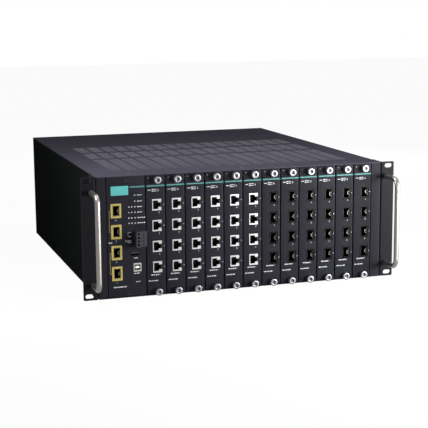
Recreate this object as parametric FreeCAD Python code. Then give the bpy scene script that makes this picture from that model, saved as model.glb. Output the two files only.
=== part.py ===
"""Four-unit rack chassis of a modular network switch: card cage, twelve port modules, main panel, power modules.

Millimetres. While the pieces are made, X runs to the right seen from the front, Y = 0 is the front face of the
panels with Y growing to the rear, and Z = 0 is the underside. On export everything is moved along Y, so that the
origin lies under the middle of the overall box.
"""
import FreeCAD, Part
import math
import os

V = FreeCAD.Vector

# ---- sheet and clearances ------------------------------------------------------------------------
SHEET = 1.2              # folded steel sheet of the chassis, panels and cage
BOARD = 1.6              # printed circuit boards
FIT = 0.3                # side clearance of boards in guides, ports in cut-outs and plugs in shrouds
EDGE_GAP = 0.4           # panels to the chassis floor, the cover and the posts
SEAM = 1.4               # gap between two neighbouring module plates
TOUCH = 0.01             # two values closer than this are the same

# ---- chassis -------------------------------------------------------------------------------------
BODY_HEIGHT = 176.8      # four rack units, less the usual gap
BODY_DEPTH = 523.8
LEFT_POST = 14.3         # folded front flange left of the main panel
RIGHT_POST = 15.8        # folded front flange right of the last module
MAIN_WIDTH = 57.1        # bay of the main panel
MODULE_PITCH = 29.4
MODULE_COUNT = 12
COPPER_COUNT = 6         # modules with modular jacks; the others have transceiver cages
SHEET_BEND = 1.8         # outside radius of the chassis' folds
COVER_LIP = 9.0          # folded side lip of the cover
LIP_INSET = 14.0         # the lips stop this far from both ends of the cover

# ---- card cage -----------------------------------------------------------------------------------
RAIL_BOTTOM = 13.4       # height of the front frame's lower rail above the chassis floor
RAIL_TOP = 13.2          # height of the upper rail below the cover
CAGE_DEPTH = 243.0       # from the front frame to the backplane
GUIDE_HEIGHT = 3.4       # ribs that hold a board's edge
GUIDE_WALL = 1.4
GUIDE_START = 14.0       # ribs begin this far behind the front face
BACKPLANE = 2.4
SLOT_HEIGHT = 5.2        # channel in both rails that takes the thumbscrews

# ---- rack ears and handles -----------------------------------------------------------------------
EAR_WIDTH = 21.3
EAR_PLATE = 2.5
EAR_LEG = 32.0           # leg that lies on the chassis side
EAR_CORNER = 1.2
RACK_SLOT_INSET = 8.75   # slot centre from the ear's outer edge
RACK_SLOT_END = 5.85     # slot centre from the ear's upper and lower end
RACK_SLOT_LENGTH = 12.5
RACK_SLOT_HEIGHT = 6.6
HANDLE_OFFSET = 7.3      # handle centre line from the chassis side
HANDLE_RADIUS = 3.7
HANDLE_SPAN = 133.0      # leg centre to leg centre
HANDLE_REACH = 41.0      # grip centre line in front of the ears
HANDLE_BEND = 12.5
HANDLE_SIDES = 10        # the round bar is drawn with this many flats
HANDLE_SCREW_ACROSS = 4.8
HANDLE_SCREW_HEAD = 8.0  # across the flats of the hexagon
HANDLE_SCREW_HEAD_HEIGHT = 3.0
HANDLE_SCREW_LENGTH = 12.0
SCREW_SIDES = 6          # shanks are drawn with this many flats
SCREW_FIT = 0.15

# ---- port modules --------------------------------------------------------------------------------
PORT_COUNT = 4
PORT_PITCH = 30.3
LOWEST_PORT = 41.6       # height of the lowest module port's centre
LOWEST_UPLINK = 36.1
PLATE_FLANGE = 9.0       # folded left edge of a module plate
FLANGE_INSET = 5.0       # the fold stops this far inside the cage opening
BOARD_PLACE = 23.2       # left face of a module's board, from the left edge of its slot
BOARD_STOP = 17.0        # the boards end this far before the backplane
JACK_WIDTH = 13.4
JACK_HEIGHT = 16.4
JACK_DEPTH = 21.0
JACK_PROUD = 0.2
JACK_THROAT = 13.0
JACK_STEPS = [(0.0, 6.1), (7.6, 3.4), (9.6, 1.9), (11.0, 0.0)]   # depth into the mouth, half height
JACK_RIM = 1.2
CAGE_WIDTH = 9.6
CAGE_HEIGHT = 14.8
CAGE_LENGTH = 47.0
CAGE_WALL = 0.45
CAGE_THROAT = 40.0
CAGE_SETBACK = 0.5
COLLAR_RIM = 1.9
COLLAR_THICK = 0.6
SCREW_PLACE = 17.0       # thumbscrew centre from the left edge of the slot
TOP_SCREW_DROP = 8.4
BOTTOM_SCREW_RISE = 5.7
KNOB_RADIUS = 5.3
KNOB_LENGTH = 7.0
KNOB_SIDES = 10
SHANK_ACROSS = 4.0
SHANK_LENGTH = 6.2
PLUG_WIDTH = 9.0         # board-to-backplane connector
PLUG_HEIGHT = 64.0
PLUG_LENGTH = 15.0
PLUG_OVERHANG = 12.6     # how far it stands out behind the board
PLUG_RISE = 62.0
SOCKET_WALL = 1.2
SOCKET_LENGTH = 12.8
SOCKET_DEPTH = 10.2
CHIP_SIZE = 27.0
CHIP_HEIGHT = 2.4
CHIP_PLACE = 92.0

# ---- main panel ----------------------------------------------------------------------------------
UPLINK_PLACE = 28.25     # uplink cage centre from the chassis side
LIGHT_SIZE = 1.5
LIGHT_COLUMNS = [47.0, 51.2, 55.8]                       # from the chassis side
LIGHT_DROPS = [68.8, 61.2, 53.3, 45.3, 37.4, 28.6]       # rows below the top of the chassis
FULL_ROWS = 4            # the rows above these have only the last column
LIGHT_BAR = 2.0
FRONT_BOARD_PLACE = 14.0
FRONT_BOARD_LEFT = 38.0
FRONT_BOARD_RIGHT = 67.5
FRONT_BOARD_FOOT = 4.4   # the board's lower edge above the cage opening's
FRONT_BOARD_HEAD = 9.4   # the board's upper edge below the cage opening's
ALARM_PLACE = 62.55      # alarm plug centre from the chassis side
ALARM_STEP = 22.45       # alarm plug's centre above the storage port's
ALARM_WIDTH = 16.1
ALARM_HEIGHT = 22.3
ALARM_LENGTH = 11.0
ALARM_LIP = 0.5          # gap from the plug's body to the panel
ALARM_TOWER = 6.8        # width of the tall half that holds the wire entries
ALARM_RAMP = 1.2
ALARM_DECK = 3.3         # the screw half is this much lower than the tower
ALARM_POLES = 4
ALARM_POLE_PITCH = 5.08
ALARM_TONGUE_WIDTH = 8.6
ALARM_TONGUE_HEIGHT = 20.6
ALARM_TONGUE_LENGTH = 9.5
ALARM_SHROUD = 1.2
WIRE_HOLE = 3.0
WIRE_HOLE_DEPTH = 7.0
STORAGE_PLACE = 55.1
STORAGE_STEP = 19.7      # storage port's centre above the console port's
STORAGE_SIZE = (13.1, 5.9)
STORAGE_MOUTH = (12.3, 5.1)
STORAGE_TONGUE = (10.8, 1.8)
CONSOLE_PLACE = 58.0
CONSOLE_STEP = 16.5      # console port's centre above the reset hole
CONSOLE_SIZE = (11.4, 12.4)
CONSOLE_MOUTH = (8.6, 8.0)
CONSOLE_TONGUE = (5.6, 3.0)
USB_THROAT = 9.0
RESET_PLACE = 59.8
RESET_RISE = 26.9
RESET_HOLE = 2.6         # across its flats
RESET_STEM = 1.8
RESET_SIDES = 8
RESET_HEAD = 1.8
RESET_HEAD_LENGTH = 0.8
RESET_SETBACK = 0.5
RESET_TRAVEL = 0.6
RESET_SLACK = 0.1        # left between plunger and switch when it is pressed home
RESET_SWITCH = 6.0
RESET_SWITCH_HEIGHT = 3.6
SINK_SIZE = 66.0
SINK_BASE = 4.0
SINK_HEIGHT = 18.0
SINK_FINS = 7
SINK_FIN = 1.6
SINK_PLACE = 128.0

# ---- cover vents ---------------------------------------------------------------------------------
VENT_COLUMNS = 17
VENT_PITCH = 22.0
VENT_WIDTH = 17.4
VENT_SLITS = 2           # slits in each field
VENT_RIB = 3.4           # bar between two slits of a field
VENT_ROWS = [(49.0, 129.0), (193.0, 64.0), (272.0, 64.0)]   # distance from the front edge, length

# ---- rear ----------------------------------------------------------------------------------------
POWER_WIDTH = 146.0
POWER_HEIGHT = 78.0
POWER_LENGTH = 205.0
POWER_WALL = 1.5
POWER_RISE = 14.0        # underside of the power bays above the chassis floor
POWER_SPREAD = 104.0     # bay centre from the middle of the chassis
POWER_FLANGE = 13.0      # flange beyond the case on the left and right
POWER_EDGE = 3.5         # flange beyond the case above and below
POWER_SHELF = 10.0
INLET_WIDTH = 27.4
INLET_HEIGHT = 20.0
INLET_PLACE = 0.0        # inlet centre from the module's middle
INLET_PROUD = 1.0
INLET_RIM = 1.9
INLET_THROAT = 15.0
INLET_CORNER = 4.5
INLET_BODY = 18.0
PIN_WIDTH = 4.0
PIN_THICK = 2.0
PIN_LENGTH = 10.0
PIN_SPREAD = 7.0
PIN_DROP = 3.9

# ---- worked out from the sizes above -------------------------------------------------------------
BODY_WIDTH = LEFT_POST + MAIN_WIDTH + MODULE_COUNT * MODULE_PITCH + RIGHT_POST
SIDE = BODY_WIDTH / 2
INSIDE = SIDE - SHEET
FLOOR = SHEET
CEILING = BODY_HEIGHT - SHEET
MAIN_LEFT = -SIDE + LEFT_POST
BANK_LEFT = MAIN_LEFT + MAIN_WIDTH
BANK_RIGHT = BANK_LEFT + MODULE_COUNT * MODULE_PITCH
PANEL_LOW = FLOOR + EDGE_GAP
PANEL_HIGH = CEILING - EDGE_GAP
OPEN_LOW = FLOOR + RAIL_BOTTOM
OPEN_HIGH = CEILING - RAIL_TOP
FRAME_BACK = 2 * SHEET
BACKPLANE_FRONT = FRAME_BACK + CAGE_DEPTH
BOARD_DEPTH = CAGE_DEPTH - BOARD_STOP
SCREW_HEIGHTS = [BOTTOM_SCREW_RISE, BODY_HEIGHT - TOP_SCREW_DROP]
RACK_SLOT_SPACING = BODY_HEIGHT - 2 * RACK_SLOT_END
LIGHT_ROWS = [BODY_HEIGHT - drop for drop in LIGHT_DROPS]
CONSOLE_RISE = RESET_RISE + CONSOLE_STEP
STORAGE_RISE = CONSOLE_RISE + STORAGE_STEP
ALARM_RISE = STORAGE_RISE + ALARM_STEP
HANDLE_FRONT = HANDLE_REACH + HANDLE_RADIUS / math.cos(math.pi / HANDLE_SIDES)
REARMOST = BODY_DEPTH + SHEET + KNOB_LENGTH
MIDDLE_Y = (REARMOST - HANDLE_FRONT) / 2


def block(x0, x1, y0, y1, z0, z1):
    """A block between two corners."""
    return Part.makeBox(x1 - x0, y1 - y0, z1 - z0, V(x0, y0, z0))


def centred(cx, cz, width, height, y0, y1):
    """A block centred on a point of the front, from y0 to y1."""
    return block(cx - width / 2, cx + width / 2, y0, y1, cz - height / 2, cz + height / 2)


def rod(cx, cz, radius, y0, y1):
    """A round bar along Y."""
    return Part.makeCylinder(radius, y1 - y0, V(cx, y0, cz), V(0, 1, 0))


def prism(points, y0, y1):
    """A closed outline in X and Z, drawn out from y0 to y1."""
    wire = Part.makePolygon([V(x, y0, z) for x, z in points + points[:1]])
    return Part.Face(wire).extrude(V(0, y1 - y0, 0))


def ring(cx, cz, across, sides):
    """Corners of a regular outline; across is the distance over two opposite flats."""
    reach = across / 2 / math.cos(math.pi / sides)
    turns = [2 * math.pi * (i + 0.5) / sides for i in range(sides)]
    return [(cx + reach * math.cos(t), cz + reach * math.sin(t)) for t in turns]


def polygon_bar(cx, cz, across, sides, y0, y1):
    """A bar with flat sides along Y."""
    return prism(ring(cx, cz, across, sides), y0, y1)


def joined(pieces):
    """One solid from pieces that share faces or overlap."""
    return pieces[0].multiFuse(pieces[1:]).removeSplitter() if len(pieces) > 1 else pieces[0]


def cut(body, tools):
    """The body with every tool taken out of it."""
    return body.cut(Part.makeCompound(tools)) if tools else body


def bent_bar(cx, cz, across, sides, span, reach, bend):
    """A U-shaped grip in front of Y = 0: two legs along Y joined by an upright, with round bends."""
    low, high = cz - span / 2, cz + span / 2
    turn = bend * (1 - math.sqrt(0.5))
    arc_low = Part.Arc(V(cx, bend - reach, low), V(cx, turn - reach, low + turn), V(cx, -reach, low + bend))
    arc_high = Part.Arc(V(cx, -reach, high - bend), V(cx, turn - reach, high - turn),
                        V(cx, bend - reach, high))
    path = Part.Wire([
        Part.LineSegment(V(cx, 0, low), V(cx, bend - reach, low)).toShape(),
        arc_low.toShape(),
        Part.LineSegment(V(cx, -reach, low + bend), V(cx, -reach, high - bend)).toShape(),
        arc_high.toShape(),
        Part.LineSegment(V(cx, bend - reach, high), V(cx, 0, high)).toShape(),
    ])
    corners = [V(x, 0, z) for x, z in ring(cx, low, across, sides)]
    section = Part.makePolygon(corners + corners[:1])
    return path.makePipeShell([section], True, False)


def fold_edges(shape, x, y, z):
    """Edges at distance x from the middle: upright ones at depth y, and those along Y at height z."""
    folds = []
    for edge in shape.Edges:
        middle, run = edge.CenterOfMass, edge.tangentAt(edge.FirstParameter)
        if abs(abs(middle.x) - x) < TOUCH:
            upright = abs(run.z) > 1 - TOUCH and abs(middle.y - y) < TOUCH
            lengthwise = abs(run.y) > 1 - TOUCH and abs(middle.z - z) < TOUCH
            if upright or lengthwise:
                folds.append(edge)
    return folds


# ---- chassis -------------------------------------------------------------------------------------
def chassis_tray():
    """Floor, two sides and the two front posts, folded from one sheet."""
    floor = block(-SIDE, SIDE, 0, BODY_DEPTH, 0, SHEET)
    left = block(-SIDE, -INSIDE, 0, BODY_DEPTH, 0, CEILING)
    right = block(INSIDE, SIDE, 0, BODY_DEPTH, 0, CEILING)
    left_post = block(-SIDE, MAIN_LEFT - EDGE_GAP, 0, SHEET, 0, CEILING)
    right_post = block(BANK_RIGHT + EDGE_GAP, SIDE, 0, SHEET, 0, CEILING)
    tray = joined([floor, left, right, left_post, right_post])
    return tray.makeFillet(SHEET_BEND, fold_edges(tray, SIDE, 0, 0))


def vent_slits():
    """Tools for the ventilation fields: columns of slits in three rows."""
    slit = (VENT_WIDTH - (VENT_SLITS - 1) * VENT_RIB) / VENT_SLITS
    first = -(VENT_COLUMNS - 1) * VENT_PITCH / 2 - VENT_WIDTH / 2
    tools = []
    for column in range(VENT_COLUMNS):
        for number in range(VENT_SLITS):
            x0 = first + column * VENT_PITCH + number * (slit + VENT_RIB)
            for start, length in VENT_ROWS:
                tools.append(block(x0, x0 + slit, start, start + length, CEILING - 1, BODY_HEIGHT + 1))
    return tools


def top_cover():
    """Flat cover with a lip folded down inside each chassis side."""
    plate = cut(block(-SIDE, SIDE, 0, BODY_DEPTH, CEILING, BODY_HEIGHT), vent_slits())
    lip_out = INSIDE - FIT
    ends = LIP_INSET, BODY_DEPTH - LIP_INSET
    left = block(-lip_out, -lip_out + SHEET, ends[0], ends[1], CEILING - COVER_LIP, CEILING)
    right = block(lip_out - SHEET, lip_out, ends[0], ends[1], CEILING - COVER_LIP, CEILING)
    return joined([plate, left, right])


def guide_ribs(board_left, base_low, base_high, end):
    """Two ribs at the foot and two at the head of a board that slides in along Y."""
    ribs = []
    for x0 in (board_left - FIT - GUIDE_WALL, board_left + BOARD + FIT):
        ribs.append(block(x0, x0 + GUIDE_WALL, GUIDE_START, end, base_low, base_low + GUIDE_HEIGHT))
        ribs.append(block(x0, x0 + GUIDE_WALL, GUIDE_START, end, base_high - GUIDE_HEIGHT, base_high))
    return ribs


def card_cage():
    """Front frame with two openings and screw channels, and behind it the guide plates, divider and end wall."""
    frame = block(-INSIDE, INSIDE, SHEET, FRAME_BACK, FLOOR, CEILING)
    windows = [
        block(MAIN_LEFT + SHEET, BANK_LEFT - SEAM / 2 - SHEET, 0, FRAME_BACK + 1, OPEN_LOW, OPEN_HIGH),
        block(BANK_LEFT + FIT, BANK_RIGHT - FIT, 0, FRAME_BACK + 1, OPEN_LOW, OPEN_HIGH),
    ]
    for height in SCREW_HEIGHTS:
        windows.append(block(BANK_LEFT + SEAM, BANK_RIGHT - SEAM, 0, FRAME_BACK + 1,
                             height - SLOT_HEIGHT / 2, height + SLOT_HEIGHT / 2))
    frame = cut(frame, windows)
    last = BANK_RIGHT + 2 * SHEET
    low = block(-INSIDE, last, FRAME_BACK, BACKPLANE_FRONT, OPEN_LOW - SHEET, OPEN_LOW)
    high = block(-INSIDE, last, FRAME_BACK, BACKPLANE_FRONT, OPEN_HIGH, OPEN_HIGH + SHEET)
    divider = block(BANK_LEFT + FIT - SHEET, BANK_LEFT + FIT, FRAME_BACK, BACKPLANE_FRONT,
                    OPEN_LOW, OPEN_HIGH)
    end = block(last - SHEET, last, FRAME_BACK, BACKPLANE_FRONT, OPEN_LOW, OPEN_HIGH)
    ribs = []
    for place in board_places():
        ribs += guide_ribs(place, OPEN_LOW, OPEN_HIGH, FRAME_BACK + BOARD_DEPTH - PLUG_LENGTH)
    return joined([frame, low, high, divider, end] + ribs)


def slot_left(number):
    """Left edge of a module's slot, counted from 0."""
    return BANK_LEFT + number * MODULE_PITCH


def board_places():
    """Left faces of the main board and of every module's board."""
    return [main_board_left()] + [slot_left(i) + BOARD_PLACE for i in range(MODULE_COUNT)]


def plug_middle():
    """Middle of the backplane connectors in Z."""
    return PLUG_RISE + PLUG_HEIGHT / 2


def plug_in_board(left):
    """A board on edge, fused with the connector that straddles its rear edge."""
    back = FRAME_BACK + BOARD_DEPTH
    board = block(left, left + BOARD, FRAME_BACK, back, OPEN_LOW + FIT, OPEN_HIGH - FIT)
    plug = centred(left + BOARD / 2, plug_middle(), PLUG_WIDTH, PLUG_HEIGHT,
                   back + PLUG_OVERHANG - PLUG_LENGTH, back + PLUG_OVERHANG)
    return [board, plug]


def backplane():
    """Board across the rear of the cage with a shrouded socket for each board."""
    board = block(-INSIDE + FIT, INSIDE - FIT, BACKPLANE_FRONT, BACKPLANE_FRONT + BACKPLANE,
                  FLOOR + EDGE_GAP, CEILING - COVER_LIP - EDGE_GAP)
    front = BACKPLANE_FRONT - SOCKET_LENGTH
    inner = PLUG_WIDTH + 2 * FIT, PLUG_HEIGHT + 2 * FIT
    sockets = []
    for left in board_places():
        cx = left + BOARD / 2
        outer = centred(cx, plug_middle(), inner[0] + 2 * SOCKET_WALL, inner[1] + 2 * SOCKET_WALL,
                        front, BACKPLANE_FRONT)
        hollow = centred(cx, plug_middle(), inner[0], inner[1], front - 1, front + SOCKET_DEPTH)
        sockets.append(outer.cut(hollow))
    return joined([board] + sockets)


# ---- ears and handles ----------------------------------------------------------------------------
def handle_heights():
    """Heights of a handle's two legs."""
    return [BODY_HEIGHT / 2 - HANDLE_SPAN / 2, BODY_HEIGHT / 2 + HANDLE_SPAN / 2]


def rack_slot(cx, cz):
    """Tool for one oblong rack slot, long along X."""
    half = (RACK_SLOT_LENGTH - RACK_SLOT_HEIGHT) / 2
    middle = block(cx - half, cx + half, -1, EAR_PLATE + 1,
                   cz - RACK_SLOT_HEIGHT / 2, cz + RACK_SLOT_HEIGHT / 2)
    ends = [rod(cx + s * half, cz, RACK_SLOT_HEIGHT / 2, -1, EAR_PLATE + 1) for s in (-1, 1)]
    return joined([middle] + ends)


def rack_ear(side):
    """Folded bracket: front plate with two rack slots and two handle holes, and a leg along the chassis side."""
    outer = SIDE + EAR_WIDTH
    plate = block(SIDE, outer, 0, EAR_PLATE, 0, BODY_HEIGHT)
    corners = fold_edges(plate, outer, EAR_LEG, 0) + fold_edges(plate, outer, EAR_LEG, BODY_HEIGHT)
    plate = plate.makeChamfer(EAR_CORNER, corners)
    leg = block(SIDE, SIDE + EAR_PLATE, 0, EAR_LEG, 0, BODY_HEIGHT)
    ear = joined([plate, leg])
    ear = ear.makeFillet(EAR_PLATE, fold_edges(ear, SIDE, 0, -EAR_LEG))
    slot_x = outer - RACK_SLOT_INSET
    tools = [rack_slot(slot_x, BODY_HEIGHT / 2 + s * RACK_SLOT_SPACING / 2) for s in (-1, 1)]
    for height in handle_heights():
        tools.append(polygon_bar(SIDE + HANDLE_OFFSET, height, HANDLE_SCREW_ACROSS + 2 * SCREW_FIT, SCREW_SIDES,
                                 -1, EAR_PLATE + 1))
    ear = cut(ear, tools)
    return ear if side > 0 else ear.mirror(V(0, 0, 0), V(1, 0, 0))


def handle(side):
    """Round bent grip that stands in front of an ear, tapped at both feet."""
    x = side * (SIDE + HANDLE_OFFSET)
    bar = bent_bar(x, BODY_HEIGHT / 2, 2 * HANDLE_RADIUS, HANDLE_SIDES,
                   HANDLE_SPAN, HANDLE_REACH, HANDLE_BEND)
    depth = HANDLE_SCREW_LENGTH - EAR_PLATE + 1
    holes = [polygon_bar(x, z, HANDLE_SCREW_ACROSS + 2 * SCREW_FIT, SCREW_SIDES, -depth, 1)
             for z in handle_heights()]
    return cut(bar, holes)


def handle_screws():
    """Four screws through the ears into the handles' feet."""
    screws = []
    for side in (-1, 1):
        for height in handle_heights():
            x = side * (SIDE + HANDLE_OFFSET)
            shank = polygon_bar(x, height, HANDLE_SCREW_ACROSS, SCREW_SIDES, EAR_PLATE - HANDLE_SCREW_LENGTH,
                                EAR_PLATE)
            head = polygon_bar(x, height, HANDLE_SCREW_HEAD, 6, EAR_PLATE, EAR_PLATE + HANDLE_SCREW_HEAD_HEIGHT)
            screws.append(joined([shank, head]))
    return Part.makeCompound(screws)


# ---- port modules --------------------------------------------------------------------------------
def port_heights(lowest):
    """Centre heights of four ports, one above the other."""
    return [lowest + i * PORT_PITCH for i in range(PORT_COUNT)]


def jack_left(number):
    """Left face of a module's jacks."""
    return slot_left(number) + BOARD_PLACE - JACK_WIDTH


def jack(number, height):
    """Shielded modular jack lying on its side, with a stepped mouth for plug and latch."""
    left = jack_left(number)
    body = block(left, left + JACK_WIDTH, -JACK_PROUD, JACK_DEPTH,
                 height - JACK_HEIGHT / 2, height + JACK_HEIGHT / 2)
    right_side = []
    for (reach, half), (next_reach, _) in zip(JACK_STEPS, JACK_STEPS[1:]):
        right_side += [(reach, half), (next_reach, half)]
    outline = [(left + JACK_RIM + x, height + z) for x, z in right_side]
    outline += [(left + JACK_RIM + x, height - z) for x, z in reversed(right_side)]
    return body.cut(prism(outline, -JACK_PROUD - 1, JACK_THROAT))


def transceiver_cage(right, height, setback, collar):
    """Thin-walled metal cage, open to the front; collar is the width of the spring rim round its mouth."""
    cx = right - CAGE_WIDTH / 2
    outer = centred(cx, height, CAGE_WIDTH, CAGE_HEIGHT, setback, setback + CAGE_LENGTH)
    if collar:
        rim = centred(cx, height, CAGE_WIDTH + 2 * collar, CAGE_HEIGHT + 2 * collar,
                      setback, setback + COLLAR_THICK)
        outer = joined([outer, rim])
    return outer.cut(centred(cx, height, CAGE_WIDTH - 2 * CAGE_WALL, CAGE_HEIGHT - 2 * CAGE_WALL,
                             setback - 1, setback + CAGE_THROAT))


def is_copper(number):
    """The first modules carry jacks, the rest transceiver cages."""
    return number < COPPER_COUNT


def module_faceplate(number):
    """Narrow panel with four port cut-outs, two screw holes and a folded left edge."""
    left, right = slot_left(number) + SEAM / 2, slot_left(number + 1) - SEAM / 2
    plate = block(left, right, 0, SHEET, PANEL_LOW, PANEL_HIGH)
    flange = block(left, left + SHEET, 0, SHEET + PLATE_FLANGE, OPEN_LOW + FLANGE_INSET, OPEN_HIGH - FLANGE_INSET)
    tools = []
    for height in port_heights(LOWEST_PORT):
        if is_copper(number):
            cx = jack_left(number) + JACK_WIDTH / 2
            size = JACK_WIDTH + FIT, JACK_HEIGHT + 2 * FIT
        else:
            cx = slot_left(number) + BOARD_PLACE - CAGE_WIDTH / 2
            size = CAGE_WIDTH + 2 * COLLAR_RIM + FIT, CAGE_HEIGHT + 2 * COLLAR_RIM + FIT
        tools.append(centred(cx, height, size[0], size[1], -1, SHEET + 1))
    for height in SCREW_HEIGHTS:
        tools.append(polygon_bar(slot_left(number) + SCREW_PLACE, height, SHANK_ACROSS + 2 * FIT, SCREW_SIDES,
                                 -1, SHEET + 1))
    return cut(joined([plate, flange]), tools)


def module_board(number):
    """Circuit board on edge with its port bank, main chip and backplane connector."""
    left = slot_left(number) + BOARD_PLACE
    chip = block(left - CHIP_HEIGHT, left, CHIP_PLACE, CHIP_PLACE + CHIP_SIZE,
                 plug_middle() - CHIP_SIZE / 2, plug_middle() + CHIP_SIZE / 2)
    carrier = joined(plug_in_board(left) + [chip])
    ports = []
    for height in port_heights(LOWEST_PORT):
        if is_copper(number):
            ports.append(jack(number, height))
        else:
            ports.append(transceiver_cage(left, height, CAGE_SETBACK, COLLAR_RIM))
    return Part.makeCompound([carrier] + ports)


def module_thumbscrews(number):
    """Two captive screws with fluted knobs."""
    screws = []
    x = slot_left(number) + SCREW_PLACE
    for height in SCREW_HEIGHTS:
        knob = polygon_bar(x, height, 2 * KNOB_RADIUS, KNOB_SIDES, -KNOB_LENGTH, 0)
        shank = polygon_bar(x, height, SHANK_ACROSS, SCREW_SIDES, 0, SHANK_LENGTH)
        screws.append(joined([knob, shank]))
    return Part.makeCompound(screws)


# ---- main panel ----------------------------------------------------------------------------------
def from_side(distance):
    """X of a point at a distance from the chassis' left side."""
    return -SIDE + distance


def main_board_left():
    """The uplink cages lie against the main board's left face."""
    return from_side(UPLINK_PLACE) + CAGE_WIDTH / 2


def light_places():
    """Centres of the status lights."""
    places = []
    for row, height in enumerate(LIGHT_ROWS):
        columns = LIGHT_COLUMNS if row < FULL_ROWS else LIGHT_COLUMNS[-1:]
        places += [(from_side(column), height) for column in columns]
    return places


def main_panel():
    """Panel of the management bay with every port, light and button opening."""
    plate = block(MAIN_LEFT + EDGE_GAP, BANK_LEFT - SEAM / 2, 0, SHEET, PANEL_LOW, PANEL_HIGH)
    tools = []
    for height in port_heights(LOWEST_UPLINK):
        tools.append(centred(from_side(UPLINK_PLACE), height, CAGE_WIDTH + FIT, CAGE_HEIGHT + FIT,
                             -1, SHEET + 1))
    for x, z in light_places():
        tools.append(centred(x, z, LIGHT_SIZE + FIT, LIGHT_SIZE + FIT, -1, SHEET + 1))
    shroud = alarm_shroud_size()
    tools.append(centred(from_side(ALARM_PLACE), ALARM_RISE, shroud[0] + FIT, shroud[1] + FIT, -1, SHEET + 1))
    tools.append(centred(from_side(STORAGE_PLACE), STORAGE_RISE, STORAGE_SIZE[0] + FIT, STORAGE_SIZE[1] + FIT,
                         -1, SHEET + 1))
    tools.append(centred(from_side(CONSOLE_PLACE), CONSOLE_RISE, CONSOLE_SIZE[0] + FIT, CONSOLE_SIZE[1] + FIT,
                         -1, SHEET + 1))
    tools.append(polygon_bar(from_side(RESET_PLACE), RESET_RISE, RESET_HOLE, RESET_SIDES, -1, SHEET + 1))
    return cut(plate, tools)


def main_board():
    """Processor board beside the uplink cages, with its finned heat sink."""
    left = main_board_left()
    chip = block(left + BOARD, left + BOARD + CHIP_HEIGHT,
                 SINK_PLACE - CHIP_SIZE / 2, SINK_PLACE + CHIP_SIZE / 2,
                 BODY_HEIGHT / 2 - CHIP_SIZE / 2, BODY_HEIGHT / 2 + CHIP_SIZE / 2)
    face = left + BOARD + CHIP_HEIGHT
    low = BODY_HEIGHT / 2 - SINK_SIZE / 2
    near = SINK_PLACE - SINK_SIZE / 2
    fins = [block(face, face + SINK_BASE, near, near + SINK_SIZE, low, low + SINK_SIZE)]
    step = (SINK_SIZE - SINK_FIN) / (SINK_FINS - 1)
    for i in range(SINK_FINS):
        near_side = near + i * step
        fins.append(block(face, face + SINK_HEIGHT, near_side, near_side + SINK_FIN, low, low + SINK_SIZE))
    return Part.makeCompound([joined(plug_in_board(left) + [chip]), joined(fins)])


def front_board():
    """Small board behind the main panel that carries the lights, the ports and the reset switch."""
    board = block(from_side(FRONT_BOARD_LEFT), from_side(FRONT_BOARD_RIGHT), FRONT_BOARD_PLACE,
                  FRONT_BOARD_PLACE + BOARD, OPEN_LOW + FRONT_BOARD_FOOT, OPEN_HIGH - FRONT_BOARD_HEAD)
    switch = centred(from_side(RESET_PLACE), RESET_RISE, RESET_SWITCH, RESET_SWITCH,
                     FRONT_BOARD_PLACE - RESET_SWITCH_HEIGHT, FRONT_BOARD_PLACE)
    return joined([board, switch])


def uplink_cages():
    """Four transceiver cages of the main board."""
    return Part.makeCompound([transceiver_cage(main_board_left(), z, CAGE_SETBACK, 0)
                              for z in port_heights(LOWEST_UPLINK)])


def usb_port(x, z, size, mouth, tongue, tongue_z):
    """Metal-shelled port with its contact tongue."""
    shell = centred(x, z, size[0], size[1], -JACK_PROUD, FRONT_BOARD_PLACE)
    shell = shell.cut(centred(x, z, mouth[0], mouth[1], -JACK_PROUD - 1, USB_THROAT))
    return joined([shell, centred(x, z + tongue_z, tongue[0], tongue[1], JACK_PROUD, USB_THROAT)])


def usb_ports():
    """The flat storage port and the square console port."""
    storage = usb_port(from_side(STORAGE_PLACE), STORAGE_RISE, STORAGE_SIZE, STORAGE_MOUTH, STORAGE_TONGUE,
                       (STORAGE_MOUTH[1] - STORAGE_TONGUE[1]) / 2 - FIT)
    console = usb_port(from_side(CONSOLE_PLACE), CONSOLE_RISE, CONSOLE_SIZE, CONSOLE_MOUTH, CONSOLE_TONGUE, 0)
    return Part.makeCompound([storage, console])


def status_lights():
    """Light guides: a bar on the board with a square rod through the panel for each light."""
    places = light_places()
    xs, zs = [p[0] for p in places], [p[1] for p in places]
    bar = block(min(xs) - LIGHT_SIZE, max(xs) + LIGHT_SIZE, FRONT_BOARD_PLACE - LIGHT_BAR, FRONT_BOARD_PLACE,
                min(zs) - LIGHT_SIZE, max(zs) + LIGHT_SIZE)
    rods = [centred(x, z, LIGHT_SIZE, LIGHT_SIZE, 0, FRONT_BOARD_PLACE) for x, z in places]
    return joined([bar] + rods)


def alarm_shroud_size():
    """Outer size of the alarm header's shroud."""
    grow = 2 * FIT + 2 * ALARM_SHROUD
    return ALARM_TONGUE_WIDTH + grow, ALARM_TONGUE_HEIGHT + grow


def alarm_header():
    """Shrouded header that the alarm plug goes into."""
    size = alarm_shroud_size()
    x = from_side(ALARM_PLACE)
    shroud = centred(x, ALARM_RISE, size[0], size[1], 0, FRONT_BOARD_PLACE)
    return shroud.cut(centred(x, ALARM_RISE, ALARM_TONGUE_WIDTH + 2 * FIT, ALARM_TONGUE_HEIGHT + 2 * FIT,
                              -1, ALARM_TONGUE_LENGTH + FIT))


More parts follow.
